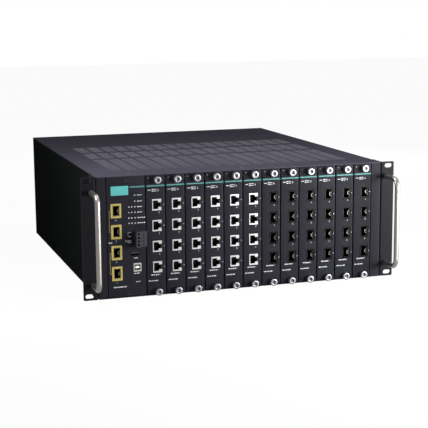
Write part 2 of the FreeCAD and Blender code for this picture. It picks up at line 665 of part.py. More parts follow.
def alarm_plug():
    """Screw terminal plug: a stepped body with wire entries, and a tongue that goes into the header."""
    x = from_side(ALARM_PLACE)
    left, right = x - ALARM_WIDTH / 2, x + ALARM_WIDTH / 2
    low, high = ALARM_RISE - ALARM_HEIGHT / 2, ALARM_RISE + ALARM_HEIGHT / 2
    front = -ALARM_LIP - ALARM_LENGTH
    deck = front + ALARM_DECK
    tower = left + ALARM_TOWER
    outline = [V(left, -ALARM_LIP, low), V(right, -ALARM_LIP, low), V(right, deck, low),
               V(tower + ALARM_RAMP, deck, low), V(tower, front, low), V(left, front, low)]
    face = Part.Face(Part.makePolygon(outline + outline[:1]))
    body = face.extrude(V(0, 0, high - low))
    tongue = centred(x, ALARM_RISE, ALARM_TONGUE_WIDTH, ALARM_TONGUE_HEIGHT, -ALARM_LIP, ALARM_TONGUE_LENGTH)
    entries = []
    first = ALARM_RISE - (ALARM_POLES - 1) * ALARM_POLE_PITCH / 2
    for i in range(ALARM_POLES):
        entries.append(centred(left + ALARM_TOWER / 2, first + i * ALARM_POLE_PITCH, WIRE_HOLE, WIRE_HOLE,
                               front - 1, front + WIRE_HOLE_DEPTH))
    return cut(joined([body, tongue]), entries)


def reset_button():
    """Plunger behind the reset pinhole."""
    x = from_side(RESET_PLACE)
    back = FRONT_BOARD_PLACE - RESET_SWITCH_HEIGHT - RESET_TRAVEL - RESET_SLACK
    stem = polygon_bar(x, RESET_RISE, RESET_STEM, RESET_SIDES, RESET_SETBACK, back)
    head = centred(x, RESET_RISE, 2 * RESET_HEAD, 2 * RESET_HEAD, back - RESET_HEAD_LENGTH, back)
    return joined([stem, head])


# ---- rear ----------------------------------------------------------------------------------------
def power_low():
    """Underside of the power modules."""
    return FLOOR + POWER_RISE


def power_middle():
    """Middle height of the power modules."""
    return power_low() + POWER_HEIGHT / 2


def rear_panel():
    """Rear wall with a bay for each power module, and a shelf under both bays."""
    wall = block(-INSIDE, INSIDE, BODY_DEPTH - SHEET, BODY_DEPTH, FLOOR, CEILING)
    bays = [centred(s * POWER_SPREAD, power_middle(), POWER_WIDTH + 2 * FIT, POWER_HEIGHT + 2 * FIT,
                    BODY_DEPTH - SHEET - 1, BODY_DEPTH + 1) for s in (-1, 1)]
    reach = POWER_SPREAD + POWER_WIDTH / 2 + POWER_SHELF
    shelf = block(-reach, reach, BODY_DEPTH - POWER_LENGTH, BODY_DEPTH - SHEET, power_low() - FIT - SHEET,
                  power_low() - FIT)
    feet = [block(s * reach - SHEET / 2, s * reach + SHEET / 2, BODY_DEPTH - POWER_LENGTH, BODY_DEPTH - SHEET,
                  FLOOR, power_low() - FIT) for s in (-1, 1)]
    return joined([cut(wall, bays), shelf] + feet)


def inlet_outline(x, z, width, height):
    """Six-sided outline of an appliance inlet, its upper corners cut off."""
    left, right, low, high = x - width / 2, x + width / 2, z - height / 2, z + height / 2
    return [(left, low), (right, low), (right, high - INLET_CORNER), (right - INLET_CORNER, high),
            (left + INLET_CORNER, high), (left, high - INLET_CORNER)]


def power_module(side):
    """Hollow power supply case with its flange, two screw knobs and the inlet opening."""
    x = side * POWER_SPREAD
    z = power_middle()
    case = centred(x, z, POWER_WIDTH, POWER_HEIGHT, BODY_DEPTH - POWER_LENGTH, BODY_DEPTH)
    flange = centred(x, z, POWER_WIDTH + 2 * POWER_FLANGE, POWER_HEIGHT + 2 * POWER_EDGE,
                     BODY_DEPTH, BODY_DEPTH + SHEET)
    room = centred(x, z, POWER_WIDTH - 2 * POWER_WALL, POWER_HEIGHT - 2 * POWER_WALL,
                   BODY_DEPTH - POWER_LENGTH + POWER_WALL, BODY_DEPTH)
    mouth = prism(inlet_outline(x + INLET_PLACE, z, INLET_WIDTH + FIT, INLET_HEIGHT + FIT),
                  BODY_DEPTH - 1, BODY_DEPTH + SHEET + 1)
    knobs = [polygon_bar(x + s * (POWER_WIDTH + POWER_FLANGE) / 2, z, 2 * KNOB_RADIUS, KNOB_SIDES,
                         BODY_DEPTH + SHEET, REARMOST) for s in (-1, 1)]
    return joined([cut(joined([case, flange]), [room, mouth])] + knobs)


def power_inlet(side):
    """Appliance inlet of a power module with three flat pins."""
    x = side * POWER_SPREAD + INLET_PLACE
    z = power_middle()
    back = BODY_DEPTH + SHEET + INLET_PROUD
    body = prism(inlet_outline(x, z, INLET_WIDTH, INLET_HEIGHT), back - INLET_BODY, back)
    rim = 2 * INLET_RIM
    hollow = prism(inlet_outline(x, z, INLET_WIDTH - rim, INLET_HEIGHT - rim), back - INLET_THROAT, back + 1)
    pins = []
    for dx, dz in ((-PIN_SPREAD, -PIN_DROP / 2), (PIN_SPREAD, -PIN_DROP / 2), (0, PIN_DROP / 2)):
        root = back - INLET_THROAT
        pins.append(centred(x + dx, z + dz, PIN_THICK, PIN_WIDTH, root, root + PIN_LENGTH))
    return joined([body.cut(hollow)] + pins)


# ---- export --------------------------------------------------------------------------------------
def save(name, shape):
    """Write one piece, moved so that the origin lies under the middle of the overall box."""
    placed = shape.copy()
    placed.translate(V(0, -MIDDLE_Y, 0))
    placed.exportStep("parts/" + name + ".step")


def main():
    os.makedirs("parts", exist_ok=True)
    save("chassis_tray", chassis_tray())
    save("top_cover", top_cover())
    save("rear_panel", rear_panel())
    save("card_cage", card_cage())
    save("backplane", backplane())
    for side, word in ((-1, "left"), (1, "right")):
        save("rack_ear_" + word, rack_ear(side))
        save("handle_" + word, handle(side))
        save("power_module_" + word, power_module(side))
        save("power_inlet_" + word, power_inlet(side))
    save("handle_screws", handle_screws())
    save("main_panel", main_panel())
    save("main_board", main_board())
    save("front_board", front_board())
    save("uplink_cages", uplink_cages())
    save("usb_ports", usb_ports())
    save("status_lights", status_lights())
    save("alarm_header", alarm_header())
    save("alarm_plug", alarm_plug())
    save("reset_button", reset_button())
    for number in range(MODULE_COUNT):
        name = "module_%02d" % (number + 1)
        save(name + "_faceplate", module_faceplate(number))
        save(name + "_port_board", module_board(number))
        save(name + "_thumbscrews", module_thumbscrews(number))


main()
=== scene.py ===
# %% [markdown]
# # A modular network switch, four rack units high
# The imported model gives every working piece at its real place. This file gives those pieces their finishes and
# adds what is too fine for the solids: turned screws, bent springs, contacts, print and perforated sheet.
# Everything is in metres, with X to the right, Y to the rear and Z up.

# %% Load the frame
import bmesh
import bpy
import math
from mathutils import Matrix, Vector


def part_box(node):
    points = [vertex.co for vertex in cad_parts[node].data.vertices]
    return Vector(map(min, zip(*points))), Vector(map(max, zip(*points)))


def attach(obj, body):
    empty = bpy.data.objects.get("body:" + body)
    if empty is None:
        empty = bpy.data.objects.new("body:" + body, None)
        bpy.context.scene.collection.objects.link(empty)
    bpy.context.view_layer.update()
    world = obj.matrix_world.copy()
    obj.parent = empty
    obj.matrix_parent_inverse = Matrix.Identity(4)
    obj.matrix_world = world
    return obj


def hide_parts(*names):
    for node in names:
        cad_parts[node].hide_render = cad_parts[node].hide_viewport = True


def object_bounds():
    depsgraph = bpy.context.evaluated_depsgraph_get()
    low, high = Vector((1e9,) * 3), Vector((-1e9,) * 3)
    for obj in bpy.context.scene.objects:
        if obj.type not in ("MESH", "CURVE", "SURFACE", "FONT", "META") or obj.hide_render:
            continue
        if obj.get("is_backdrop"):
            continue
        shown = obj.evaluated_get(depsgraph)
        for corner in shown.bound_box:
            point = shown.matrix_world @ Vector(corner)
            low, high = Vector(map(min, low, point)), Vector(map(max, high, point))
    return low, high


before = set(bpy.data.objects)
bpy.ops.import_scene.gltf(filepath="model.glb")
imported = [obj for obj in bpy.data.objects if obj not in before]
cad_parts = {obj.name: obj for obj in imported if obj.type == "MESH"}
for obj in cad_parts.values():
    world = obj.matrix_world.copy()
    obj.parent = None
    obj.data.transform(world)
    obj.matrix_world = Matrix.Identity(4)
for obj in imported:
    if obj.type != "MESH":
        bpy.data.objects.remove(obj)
cad_low, cad_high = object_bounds()
MM = 0.001
print("solids from", [round(v, 4) for v in cad_low], "to", [round(v, 4) for v in cad_high])

# %% [markdown]
# ## Places worked out from the frame
# A finish or a small part belongs somewhere on the product, so its place is taken from the box of the piece that
# carries it. The front of the panels, the pitch of the modules and the sides of the chassis are read here once.
# Only sizes that the solids don't hold, such as the height of a port above the floor, are written as numbers.

# %% Read the main places
MODULES = 12
COPPER = 6
body_low, body_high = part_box("chassis_tray")
panel_low, panel_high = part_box("main_panel")
first_low, first_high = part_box("module_01_faceplate")
last_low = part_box("module_12_faceplate")[0]
FRONT = panel_low.y
PITCH = (last_low.x - first_low.x) / (MODULES - 1)
SIDE_LEFT = body_low.x
SEAM = PITCH - (first_high.x - first_low.x)
BANK = first_low.x - SEAM / 2
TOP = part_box("top_cover")[1].z
SHEET = 1.2 * MM
PORT_PITCH = 30.3 * MM
MODULE_PORTS = [41.6 * MM + i * PORT_PITCH for i in range(4)]
UPLINKS = [36.1 * MM + i * PORT_PITCH for i in range(4)]
print("module pitch %.1f mm, front at %.1f mm, top at %.1f mm" % (PITCH / MM, FRONT / MM, TOP / MM))


def slot_edge(number):
    """Left edge of a module's slot, counted from 1."""
    return BANK + (number - 1) * PITCH


def from_side(distance):
    """X of something on the main panel, given its distance in millimetres from the left side of the chassis."""
    return SIDE_LEFT + distance * MM


def module_name(number, part):
    return "module_%02d_%s" % (number, part)


# %% [markdown]
# ## Node helpers
# Every finish here is a Principled shader with a few nodes in front of it. A recipe is a function that builds such
# a surface in a node tree. Keeping recipes apart from materials lets two of them share one solid, as where a zinc cage
# has its front painted near black as the shade in the seams between the modules. All patterns read Object
# coordinates, so they stay on the metal when a module slides out.

# %% Helpers for materials
def new_finish(name, surface):
    """A material whose surface is built in its node tree by the given recipe."""
    material = bpy.data.materials.new(name)
    material.use_nodes = True
    tree = material.node_tree
    tree.nodes.clear()
    output = tree.nodes.new("ShaderNodeOutputMaterial")
    tree.links.new(surface(tree), output.inputs["Surface"])
    return material


def add_node(tree, kind, inputs=(), **settings):
    """A new node with its settings made and its inputs set to values or linked to sockets."""
    node = tree.nodes.new(kind)
    for key, value in settings.items():
        setattr(node, key, value)
    for key, value in dict(inputs).items():
        if isinstance(value, bpy.types.NodeSocket):
            tree.links.new(value, node.inputs[key])
        else:
            node.inputs[key].default_value = value
    return node


def object_place(tree):
    return add_node(tree, "ShaderNodeTexCoord").outputs["Object"]


def colour(red, green, blue):
    """A colour from screen values of 0 to 255 to the linear values that a shader takes."""
    def linear(value):
        value /= 255
        return value / 12.92 if value <= 0.04045 else ((value + 0.055) / 1.055) ** 2.4
    return (linear(red), linear(green), linear(blue), 1.0)


def noise(tree, place, size, detail=3.0):
    """Noise whose blotches are about this many metres across."""
    return add_node(tree, "ShaderNodeTexNoise", {"Vector": place, "Scale": 1 / size, "Detail": detail}).outputs["Fac"]


def blend_colours(tree, factor, first, second):
    """A colour that runs from the first to the second as the factor goes from 0 to 1."""
    return add_node(tree, "ShaderNodeMix", {0: factor, 6: first, 7: second}, data_type="RGBA").outputs[2]


def principled(tree, roughness, metallic, specular, base, height, depth):
    """A Principled shader with a fine bump of the given height pattern and depth in metres."""
    normal = add_node(tree, "ShaderNodeBump", {"Height": height, "Distance": depth}).outputs["Normal"]
    return add_node(tree, "ShaderNodeBsdfPrincipled", {
        "Roughness": roughness, "Metallic": metallic, "Specular IOR Level": specular, "Base Color": base,
        "Normal": normal}).outputs["BSDF"]


def spread(tree, value, low, high):
    """The value, from 0 to 1, spread over another range."""
    return add_node(tree, "ShaderNodeMapRange", {"Value": value, "To Min": low, "To Max": high}).outputs["Result"]


def split(mask, inside, outside):
    """A recipe that wears one recipe where the mask is 1 and another where it is 0."""
    def surface(tree):
        return add_node(tree, "ShaderNodeMixShader", {0: mask(tree), 1: outside(tree), 2: inside(tree)}).outputs[0]
    return surface


print("helpers ready")

# %% [markdown]
# ## Masks from places
# One solid can carry several finishes: a port board is laminate, but its jacks have a tinned shield and black
# plastic inside. A mask answers, for each point of the surface, whether it lies in a box. It is built from a few
# Math nodes on Object coordinates. Because the twelve modules stand at an even pitch, one wrapped coordinate makes
# the same mask serve them all.

# %% Helpers for masks
def math_node(tree, operation, *values):
    """One Math node with its inputs set to values or linked to sockets."""
    return add_node(tree, "ShaderNodeMath", dict(enumerate(values)), operation=operation).outputs[0]


def axes_of(tree, place):
    """The X, Y and Z of a place as three sockets."""
    parts = add_node(tree, "ShaderNodeSeparateXYZ", {"Vector": place}).outputs
    return parts["X"], parts["Y"], parts["Z"]


def within(tree, value, middle, half):
    """1 where the value is nearer to the middle than half."""
    return math_node(tree, "LESS_THAN", math_node(tree, "ABSOLUTE", math_node(tree, "SUBTRACT", value, middle)), half)


def both(tree, *masks):
    result = masks[0]
    for mask in masks[1:]:
        result = math_node(tree, "MULTIPLY", result, mask)
    return result


def in_slot(tree, x):
    """X measured from the left edge of whichever module slot it lies in."""
    return math_node(tree, "WRAP", math_node(tree, "SUBTRACT", x, BANK), PITCH, 0.0)


def from_port(tree, z, lowest):
    """Height measured from the nearest port centre of a column."""
    shifted = math_node(tree, "SUBTRACT", z, lowest)
    return math_node(tree, "WRAP", shifted, PORT_PITCH / 2, -PORT_PITCH / 2)


def near_front(depth):
    """A mask for all that lies within this depth behind the front of the panels."""
    def mask(tree):
        y = axes_of(tree, object_place(tree))[1]
        return math_node(tree, "LESS_THAN", y, FRONT + depth)
    return mask


print("masks ready")

# %% [markdown]
# ## Powder coat
# The chassis, panels and ears are steel under a black powder coat with a faint orange-peel grain. Such a coat could
# be one flat black, but real powder melts into small swells that break up the reflections. So a noise of about a
# millimetre drives a shallow bump, and a wider noise shifts the colour and gloss a little. The coat is dead matt on
# the sides of the tray, and a little smoother on its front strips, on the cover and on the panels. The cover's coat is
# a lighter grey with no gloss: a painted sheen that stands in for the reflection of the black coat seen at a grazing
# angle. The front of the card cage is near black, painted shade in the seams between the modules. The punched edges
# of the cover's holes are paler, because powder draws thin there.

# %% Make the coats
def powder_coat(dark, light, roughness, specular, grain=0.9 * MM, depth=0.012 * MM):
    def surface(tree):
        place = object_place(tree)
        wide = noise(tree, place, 60 * MM)
        return principled(tree, spread(tree, wide, roughness - 0.05, roughness + 0.05), 0.0, specular,
                          blend_colours(tree, wide, dark, light), noise(tree, place, grain, 2.0), depth)
    return surface


panel_black = powder_coat(colour(24, 24, 29), colour(28, 28, 34), 0.5, 0.05)
side_black = powder_coat(colour(21, 24, 23), colour(25, 28, 27), 0.85, 0.0)
# Near black for the front of the card cage: painted shade in the seams between the modules.
seam_shade_black = powder_coat(colour(6, 8, 8), colour(8, 10, 10), 0.85, 0.0)
panel_coat = new_finish("panel_coat", panel_black)
tray_coat = new_finish("tray_coat", split(near_front(SHEET + 0.5 * MM), panel_black, side_black))
# A lighter grey with no gloss on the cover: painted sheen for the reflection of the black coat at a grazing view.
cover_painted_sheen = new_finish("cover_painted_sheen", powder_coat(colour(58, 57, 66), colour(63, 62, 71), 0.7, 0.0))
edge_coat = new_finish("edge_coat", powder_coat(colour(106, 106, 115), colour(114, 114, 123), 0.6, 0.1))
ear_coat = new_finish("ear_coat", powder_coat(colour(15, 15, 18), colour(18, 18, 22), 0.55, 0.06))
print("coats:", panel_coat.name, tray_coat.name, cover_painted_sheen.name, edge_coat.name, ear_coat.name)

# %% [markdown]
# ## Bright metals
# Handles, thumbscrews and the knobs of the power modules are polished or nickel-plated, and the card cage is
# zinc-plated steel with a duller, slightly cloudy skin. Both are metallic shaders. The polish carries a very fine
# grain, and the zinc gets its clouds, called spangle, from a Voronoi pattern that moves colour and roughness together.
# The knobs share a solid with their black case, so a mask by depth gives them the nickel.

# %% Make the metals
def darker(base, share):
    return tuple(c * share for c in base[:3]) + (1.0,)


def polished_metal(base, roughness, grain):
    def surface(tree):
        streak = noise(tree, object_place(tree), grain, 4.0)
        return principled(tree, spread(tree, streak, roughness - 0.04, roughness + 0.05), 1.0, 0.5,
                          blend_colours(tree, streak, base, darker(base, 0.92)), streak, 0.001 * MM)
    return surface


def zinc_plate(base, roughness=0.38):
    def surface(tree):
        place = object_place(tree)
        crystals = add_node(tree, "ShaderNodeTexVoronoi", {"Vector": place, "Scale": 1 / (9 * MM)}, feature="F1")
        cloud = crystals.outputs["Distance"]
        return principled(tree, spread(tree, cloud, roughness - 0.06, roughness + 0.08), 1.0, 0.5,
                          blend_colours(tree, cloud, base, darker(base, 0.8)), noise(tree, place, 0.5 * MM), 0.003 * MM)
    return surface


handle_polish = new_finish("handle_polish", polished_metal(colour(164, 161, 155), 0.38, 0.6 * MM))
nickel = polished_metal(colour(136, 136, 141), 0.42, 0.3 * MM)
screw_nickel = new_finish("screw_nickel", nickel)
# A darker nickel: painted shade in the recess of each thumbscrew, and the dull heads of the small screws.
dull_nickel_and_recess_shade = new_finish("dull_nickel_and_recess_shade", polished_metal(colour(84, 84, 89), 0.55, 0.3 * MM))
black_steel = new_finish("black_steel", polished_metal(colour(52, 52, 56), 0.5, 0.3 * MM))
# The card cage is zinc, with the first 3.2 mm behind the front painted near black as shade in the module seams.
zinc_and_seam_shade = new_finish("zinc_and_seam_shade", split(near_front(3.2 * MM), seam_shade_black, zinc_plate(colour(176, 178, 180))))
spring_metal = polished_metal(colour(220, 221, 215), 0.25, 0.2 * MM)
spring_steel = new_finish("spring_steel", polished_metal(colour(112, 113, 106), 0.4, 0.2 * MM))
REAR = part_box("rear_panel")[1].y


def rear_knob(tree):
    """A mask for the screw knobs of the power modules, the only metal that stands behind their flanges."""
    y = axes_of(tree, object_place(tree))[1]
    return math_node(tree, "GREATER_THAN", y, REAR + SHEET + 0.3 * MM)


power_coat = new_finish("power_coat", split(rear_knob, nickel, panel_black))
print("metals:", handle_polish.name, screw_nickel.name, zinc_and_seam_shade.name, spring_steel.name)

# %% [markdown]
# ## Port boards
# A port board is green laminate on edge. Its four jacks sit at the front edge: the ring round each mouth is tinned
# shield, the inside is black plastic, and the connector at the rear is black too. Depth behind the panel and distance
# from a port's centre tell these apart. Transceiver cages are the same board with cages of thin nickel silver, shown
# as a dark metal, and the inside of each mouth is painted near black as the shade of an empty cage.

# %% Make the board finishes
BOARD_LEFT = 23.2 * MM      # left face of a module's board from the edge of its slot
JACK_WIDTH = 13.4 * MM
JACK_HEIGHT = 16.4 * MM
JACK_DEPTH = 21 * MM
CAGE_WIDTH = 9.6 * MM
CAGE_DEPTH = 47.5 * MM
PLUG_START = 210 * MM       # the rear connector begins this far behind the panel
CHIP_MIDDLE = 105.5 * MM
CHIP_HALF = 13.55 * MM


def laminate_colour(tree, place):
    """Green solder mask with the lighter traces that show through it."""
    grid = add_node(tree, "ShaderNodeTexBrick", {
        "Vector": add_node(tree, "ShaderNodeMapping", {
            "Vector": place, "Rotation": (math.radians(90), 0, math.radians(90))}).outputs["Vector"],
        "Scale": 1 / (14 * MM), "Mortar Size": 0.035, "Color1": colour(10, 38, 25), "Color2": colour(13, 45, 29),
        "Mortar": colour(30, 68, 44)}).outputs["Color"]
    return blend_colours(tree, noise(tree, place, 3 * MM), grid, colour(11, 40, 26))


def board_surface(port_middle, port_half, port_tall, port_depth, shell, inside, clear, notch=(0.0, 0.0)):
    """Laminate with ports: shell outside and on the rim, another colour inside the mouths and in the notch."""
    def surface(tree):
        place = object_place(tree)
        x, y, z = axes_of(tree, place)
        across = math_node(tree, "SUBTRACT", in_slot(tree, x), port_middle)
        up = from_port(tree, z, MODULE_PORTS[0])
        depth = math_node(tree, "SUBTRACT", y, FRONT)
        port = both(tree, within(tree, across, 0.0, port_half + 0.05 * MM),
                    math_node(tree, "LESS_THAN", depth, port_depth))
        mouth = both(tree, within(tree, across, 0.0, port_half - clear), within(tree, up, 0.0, port_tall - clear),
                     math_node(tree, "GREATER_THAN", depth, -0.05 * MM))
        plug = math_node(tree, "GREATER_THAN", depth, PLUG_START)
        chip = both(tree, within(tree, depth, CHIP_MIDDLE, CHIP_HALF),
                    math_node(tree, "LESS_THAN", in_slot(tree, x), BOARD_LEFT - 0.05 * MM))
        base = blend_colours(tree, plug, laminate_colour(tree, place), colour(24, 24, 26))
        base = blend_colours(tree, chip, base, colour(28, 29, 31))
        base = blend_colours(tree, port, base, shell)
        key_way = both(tree, within(tree, across, port_half, notch[0]), within(tree, up, 0.0, notch[1]))
        dark = math_node(tree, "MAXIMUM", mouth, key_way)
        base = blend_colours(tree, both(tree, port, dark), base, inside)
        metal = math_node(tree, "SUBTRACT", port, both(tree, port, dark))
        return principled(tree, spread(tree, noise(tree, place, 1 * MM), 0.3, 0.5), metal, 0.4, base,
                          noise(tree, place, 0.6 * MM), 0.004 * MM)
    return surface


copper_board = new_finish("copper_board", board_surface(
    BOARD_LEFT - JACK_WIDTH / 2, JACK_WIDTH / 2, JACK_HEIGHT / 2, JACK_DEPTH,
    colour(190, 190, 190), colour(14, 14, 15), 0.6 * MM, (2.8 * MM, 3.6 * MM)))
# Transceiver cages: a dark metal shell, and a near black mouth that is painted shade inside the empty cage.
fibre_board = new_finish("fibre_board", board_surface(
    BOARD_LEFT - CAGE_WIDTH / 2, CAGE_WIDTH / 2 + 1.9 * MM, CAGE_WIDTH / 2 + 3 * MM, CAGE_DEPTH,
    colour(22, 22, 21), colour(15, 14, 12), 1.95 * MM))
print("boards:", copper_board.name, fibre_board.name)

# %% [markdown]
# ## Plastics, print and light guides
# Small parts are moulded plastic: black terminals and inlets, milky light guides. Print is a thin layer of ink with
# a matt, slightly uneven skin. All of them share one recipe, a colour that drifts between two close tones.

# %% Make the plastics and inks
def moulded(first, second, roughness, grain=0.4 * MM, depth=0.004 * MM):
    def surface(tree):
        place = object_place(tree)
        return principled(tree, spread(tree, noise(tree, place, 2 * MM), roughness - 0.06, roughness + 0.06), 0.0, 0.4,
                          blend_colours(tree, noise(tree, place, 4 * MM), first, second),
                          noise(tree, place, grain), depth)
    return surface


def console_front(tree):
    """A mask for the rim of the console port, which is bright, while the storage port above it is dark."""
    _, y, z = axes_of(tree, object_place(tree))
    return both(tree, math_node(tree, "LESS_THAN", y, FRONT + 0.6 * MM), math_node(tree, "LESS_THAN", z, CONSOLE_TOP))


def console_tongue(tree):
    """A mask for the white tongue in the middle of the console port."""
    x, _, z = axes_of(tree, object_place(tree))
    middle, rise = CONSOLE_MIDDLE
    return both(tree, within(tree, x, middle, 2.85 * MM), within(tree, z, rise, 1.55 * MM))


CONSOLE_TOP = 52 * MM
CONSOLE_MIDDLE = (SIDE_LEFT + 58 * MM, 43.4 * MM)
port_black = moulded(colour(14, 14, 13), colour(20, 20, 18), 0.6)
# A darkened copy of the yellow: painted shade inside the uplink cages, behind their yellow fronts.
yellow_in_shade = moulded(colour(44, 38, 18), colour(52, 45, 22), 0.5)
black_plastic = new_finish("black_plastic", moulded(colour(24, 24, 26), colour(30, 30, 33), 0.42))
terminal_plastic = new_finish("terminal_plastic", moulded(colour(22, 24, 26), colour(28, 30, 32), 0.55))
guide_plastic = new_finish("guide_plastic", moulded(colour(160, 162, 160), colour(180, 181, 178), 0.35))
teal_ink = new_finish("teal_ink", moulded(colour(55, 135, 133), colour(60, 143, 140), 0.6))
teal_line = new_finish("teal_line", moulded(colour(46, 104, 102), colour(50, 110, 108), 0.6))
pale_ink = new_finish("pale_ink", moulded(colour(150, 152, 156), colour(168, 170, 174), 0.65))
yellow_paint = moulded(colour(138, 125, 62), colour(148, 134, 70), 0.6)
# Yellow paint on the front 0.9 mm of the uplink cages, and painted shade behind it.
uplink_yellow_and_shade = new_finish("uplink_yellow_and_shade", split(near_front(0.9 * MM), yellow_paint, yellow_in_shade))
port_white = moulded(colour(205, 206, 204), colour(220, 220, 216), 0.4)
port_steel = new_finish("port_steel", split(console_tongue, port_white, split(console_front, spring_metal, port_black)))
yellow_ink = new_finish("yellow_ink", yellow_paint)
contact_gold = new_finish("contact_gold", polished_metal(colour(226, 186, 96), 0.25, 0.2 * MM))
print("small finishes ready")

# %% [markdown]
# ## Dress the solids
# A solid whose shape is right keeps its mesh and only changes its finish. The table below says which finish each
# node wears. The modules are dressed in a loop.

# %% Assign finishes to the solids
def dress(node, material):
    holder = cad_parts[node]
    for slot in holder.material_slots:
        slot.material = material


finish_of = {
    "chassis_tray": tray_coat, "top_cover": cover_painted_sheen, "rear_panel": panel_coat, "card_cage": zinc_and_seam_shade,
    "backplane": copper_board, "rack_ear_left": ear_coat, "rack_ear_right": ear_coat,
    "handle_left": handle_polish, "handle_right": handle_polish, "handle_screws": screw_nickel,
    "main_panel": panel_coat, "main_board": copper_board, "front_board": copper_board,
    "uplink_cages": uplink_yellow_and_shade, "usb_ports": port_steel, "status_lights": guide_plastic,
    "alarm_header": black_plastic, "alarm_plug": terminal_plastic, "reset_button": black_plastic,
    "power_module_left": power_coat, "power_module_right": power_coat,
    "power_inlet_left": black_plastic, "power_inlet_right": black_plastic,
}
for node, material in finish_of.items():
    dress(node, material)
for number in range(1, MODULES + 1):
    dress(module_name(number, "faceplate"), panel_coat)
    dress(module_name(number, "port_board"), copper_board if number <= COPPER else fibre_board)
    dress(module_name(number, "thumbscrews"), screw_nickel)
print("dressed", len(finish_of) + 3 * MODULES, "solids")

# %% [markdown]
# ## Floor, background and lamps
# The product stands on a pale floor in a white studio. A world can shine differently for each kind of ray: it is
# plain white for the camera, dim as a light so that the black coat keeps its depth, and what metal mirrors is bright
# in front and dark behind. A lamp at the right front models the shapes, one from above lights the cover, two small
# ones lift the middle of the cover and its left vents, and one at the rear shows the back. The floor keeps the shadow.

# %% Build the studio
MIRROR_FRONT = 0.62         # brightness of the studio in front, as bright metal mirrors it
MIRROR_BACK = 0.06          # the same behind the product, where the studio is dark


def blend_values(tree, factor, first, second):
    """A number that runs from the first to the second as the factor goes from 0 to 1."""
    return add_node(tree, "ShaderNodeMix", {0: factor, 2: first, 3: second}, data_type="FLOAT").outputs[0]


def studio_world(ambient):
    world = bpy.data.worlds.new("studio")
    bpy.context.scene.world = world
    world.use_nodes = True
    tree = world.node_tree
    tree.nodes.clear()
    path = tree.nodes.new("ShaderNodeLightPath").outputs
    direction = add_node(tree, "ShaderNodeTexCoord").outputs["Generated"]
    ahead = math_node(tree, "MULTIPLY", axes_of(tree, direction)[1], -1.0)
    mirrored = add_node(tree, "ShaderNodeMapRange", {
        "Value": ahead, "From Min": -0.6, "From Max": 0.8, "To Min": MIRROR_BACK,
        "To Max": MIRROR_FRONT}).outputs["Result"]
    strength = blend_values(tree, path["Is Glossy Ray"], ambient, mirrored)
    strength = blend_values(tree, path["Is Camera Ray"], strength, 1.0)
    add_node(tree, "ShaderNodeOutputWorld", {
        "Surface": add_node(tree, "ShaderNodeBackground", {"Color": (1, 1, 1, 1), "Strength": strength}).outputs[0]})


def floor_paper(tree):
    """Pale paper that takes the shadow, mostly seen as plain white by the camera."""
    place = object_place(tree)
    paper = principled(tree, 0.9, 0.0, 0.1,
                       blend_colours(tree, noise(tree, place, 0.3), (0.86, 0.86, 0.86, 1), (0.9, 0.9, 0.9, 1)),
                       noise(tree, place, 2 * MM), 0.02 * MM)
    path = tree.nodes.new("ShaderNodeLightPath").outputs
    seen = math_node(tree, "MAXIMUM", path["Is Camera Ray"], path["Is Glossy Ray"])
    share = math_node(tree, "MULTIPLY", seen, 0.95)
    strength = blend_values(tree, path["Is Glossy Ray"], 1.0, MIRROR_FRONT)
    glow = add_node(tree, "ShaderNodeEmission", {"Color": (1, 1, 1, 1), "Strength": strength}).outputs[0]
    return add_node(tree, "ShaderNodeMixShader", {0: share, 1: paper, 2: glow}).outputs[0]


def studio_floor(size):
    bm = bmesh.new()
    bmesh.ops.create_grid(bm, x_segments=8, y_segments=8, size=size / 2)
    mesh = bpy.data.meshes.new("floor")
    bm.to_mesh(mesh)
    bm.free()
    floor = bpy.data.objects.new("floor", mesh)
    bpy.context.scene.collection.objects.link(floor)
    mesh.materials.append(new_finish("floor_paper", floor_paper))
    floor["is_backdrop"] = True


def lamp(name, place, target, size, power):
    light = bpy.data.lights.new(name, "AREA")
    light.shape = "RECTANGLE"
    light.size, light.size_y = size
    light.energy = power
    holder = bpy.data.objects.new(name, light)
    holder.location = place
    holder.rotation_euler = (Vector(target) - Vector(place)).to_track_quat("-Z", "Y").to_euler()
    bpy.context.scene.collection.objects.link(holder)


studio_world(0.17)
studio_floor(12.0)
lamp("key_lamp", (0.6, FRONT - 0.5, 0.2), (0, FRONT, 0.09), (0.5, 0.3), 18)
lamp("top_lamp", (0.7, 0.1, 1.5), (0, 0, TOP), (1.0, 1.0), 5)
lamp("cover_lamp", (0.04, FRONT + 0.06, 0.44), (0.04, FRONT + 0.06, TOP), (0.2, 0.06), 0.8)
lamp("vent_lamp", (-0.38, FRONT - 0.03, 0.42), (-0.15, FRONT + 0.1, TOP), (0.1, 0.06), 1.5)
lamp("rear_lamp", (0.7, 1.2, 0.5), (0, 0.2, 0.1), (0.8, 0.5), 7)
bpy.context.scene.view_settings.view_transform = "Standard"
print("studio ready")

# %% [markdown]
# ## Camera
# The view is from the left front and a little above, with a long lens. The angles, the distance and the lens were
# fitted together, so that the corners of the body, the rack slots and the screws fall where they should.

# %% Place the camera
def studio_camera(azimuth, elevation, roll, place, lens):
    camera = bpy.data.objects.new("camera", bpy.data.cameras.new("camera"))
    bpy.context.scene.collection.objects.link(camera)
    bpy.context.scene.camera = camera
    turn, lift, tilt = (math.radians(v) for v in (azimuth, elevation, roll))
    forward = Vector((-math.sin(turn) * math.cos(lift), math.cos(turn) * math.cos(lift), -math.sin(lift)))
    level = Vector((math.cos(turn), math.sin(turn), 0))
    up = level.cross(forward)
    right = level * math.cos(tilt) + up * math.sin(tilt)
    up = up * math.cos(tilt) - level * math.sin(tilt)
    axes = Matrix((right, up, -forward)).transposed().to_4x4()
    camera.matrix_world = Matrix.Translation(place) @ axes
    camera.data.sensor_width = 36
    camera.data.lens = lens
    camera.data.clip_end = 30


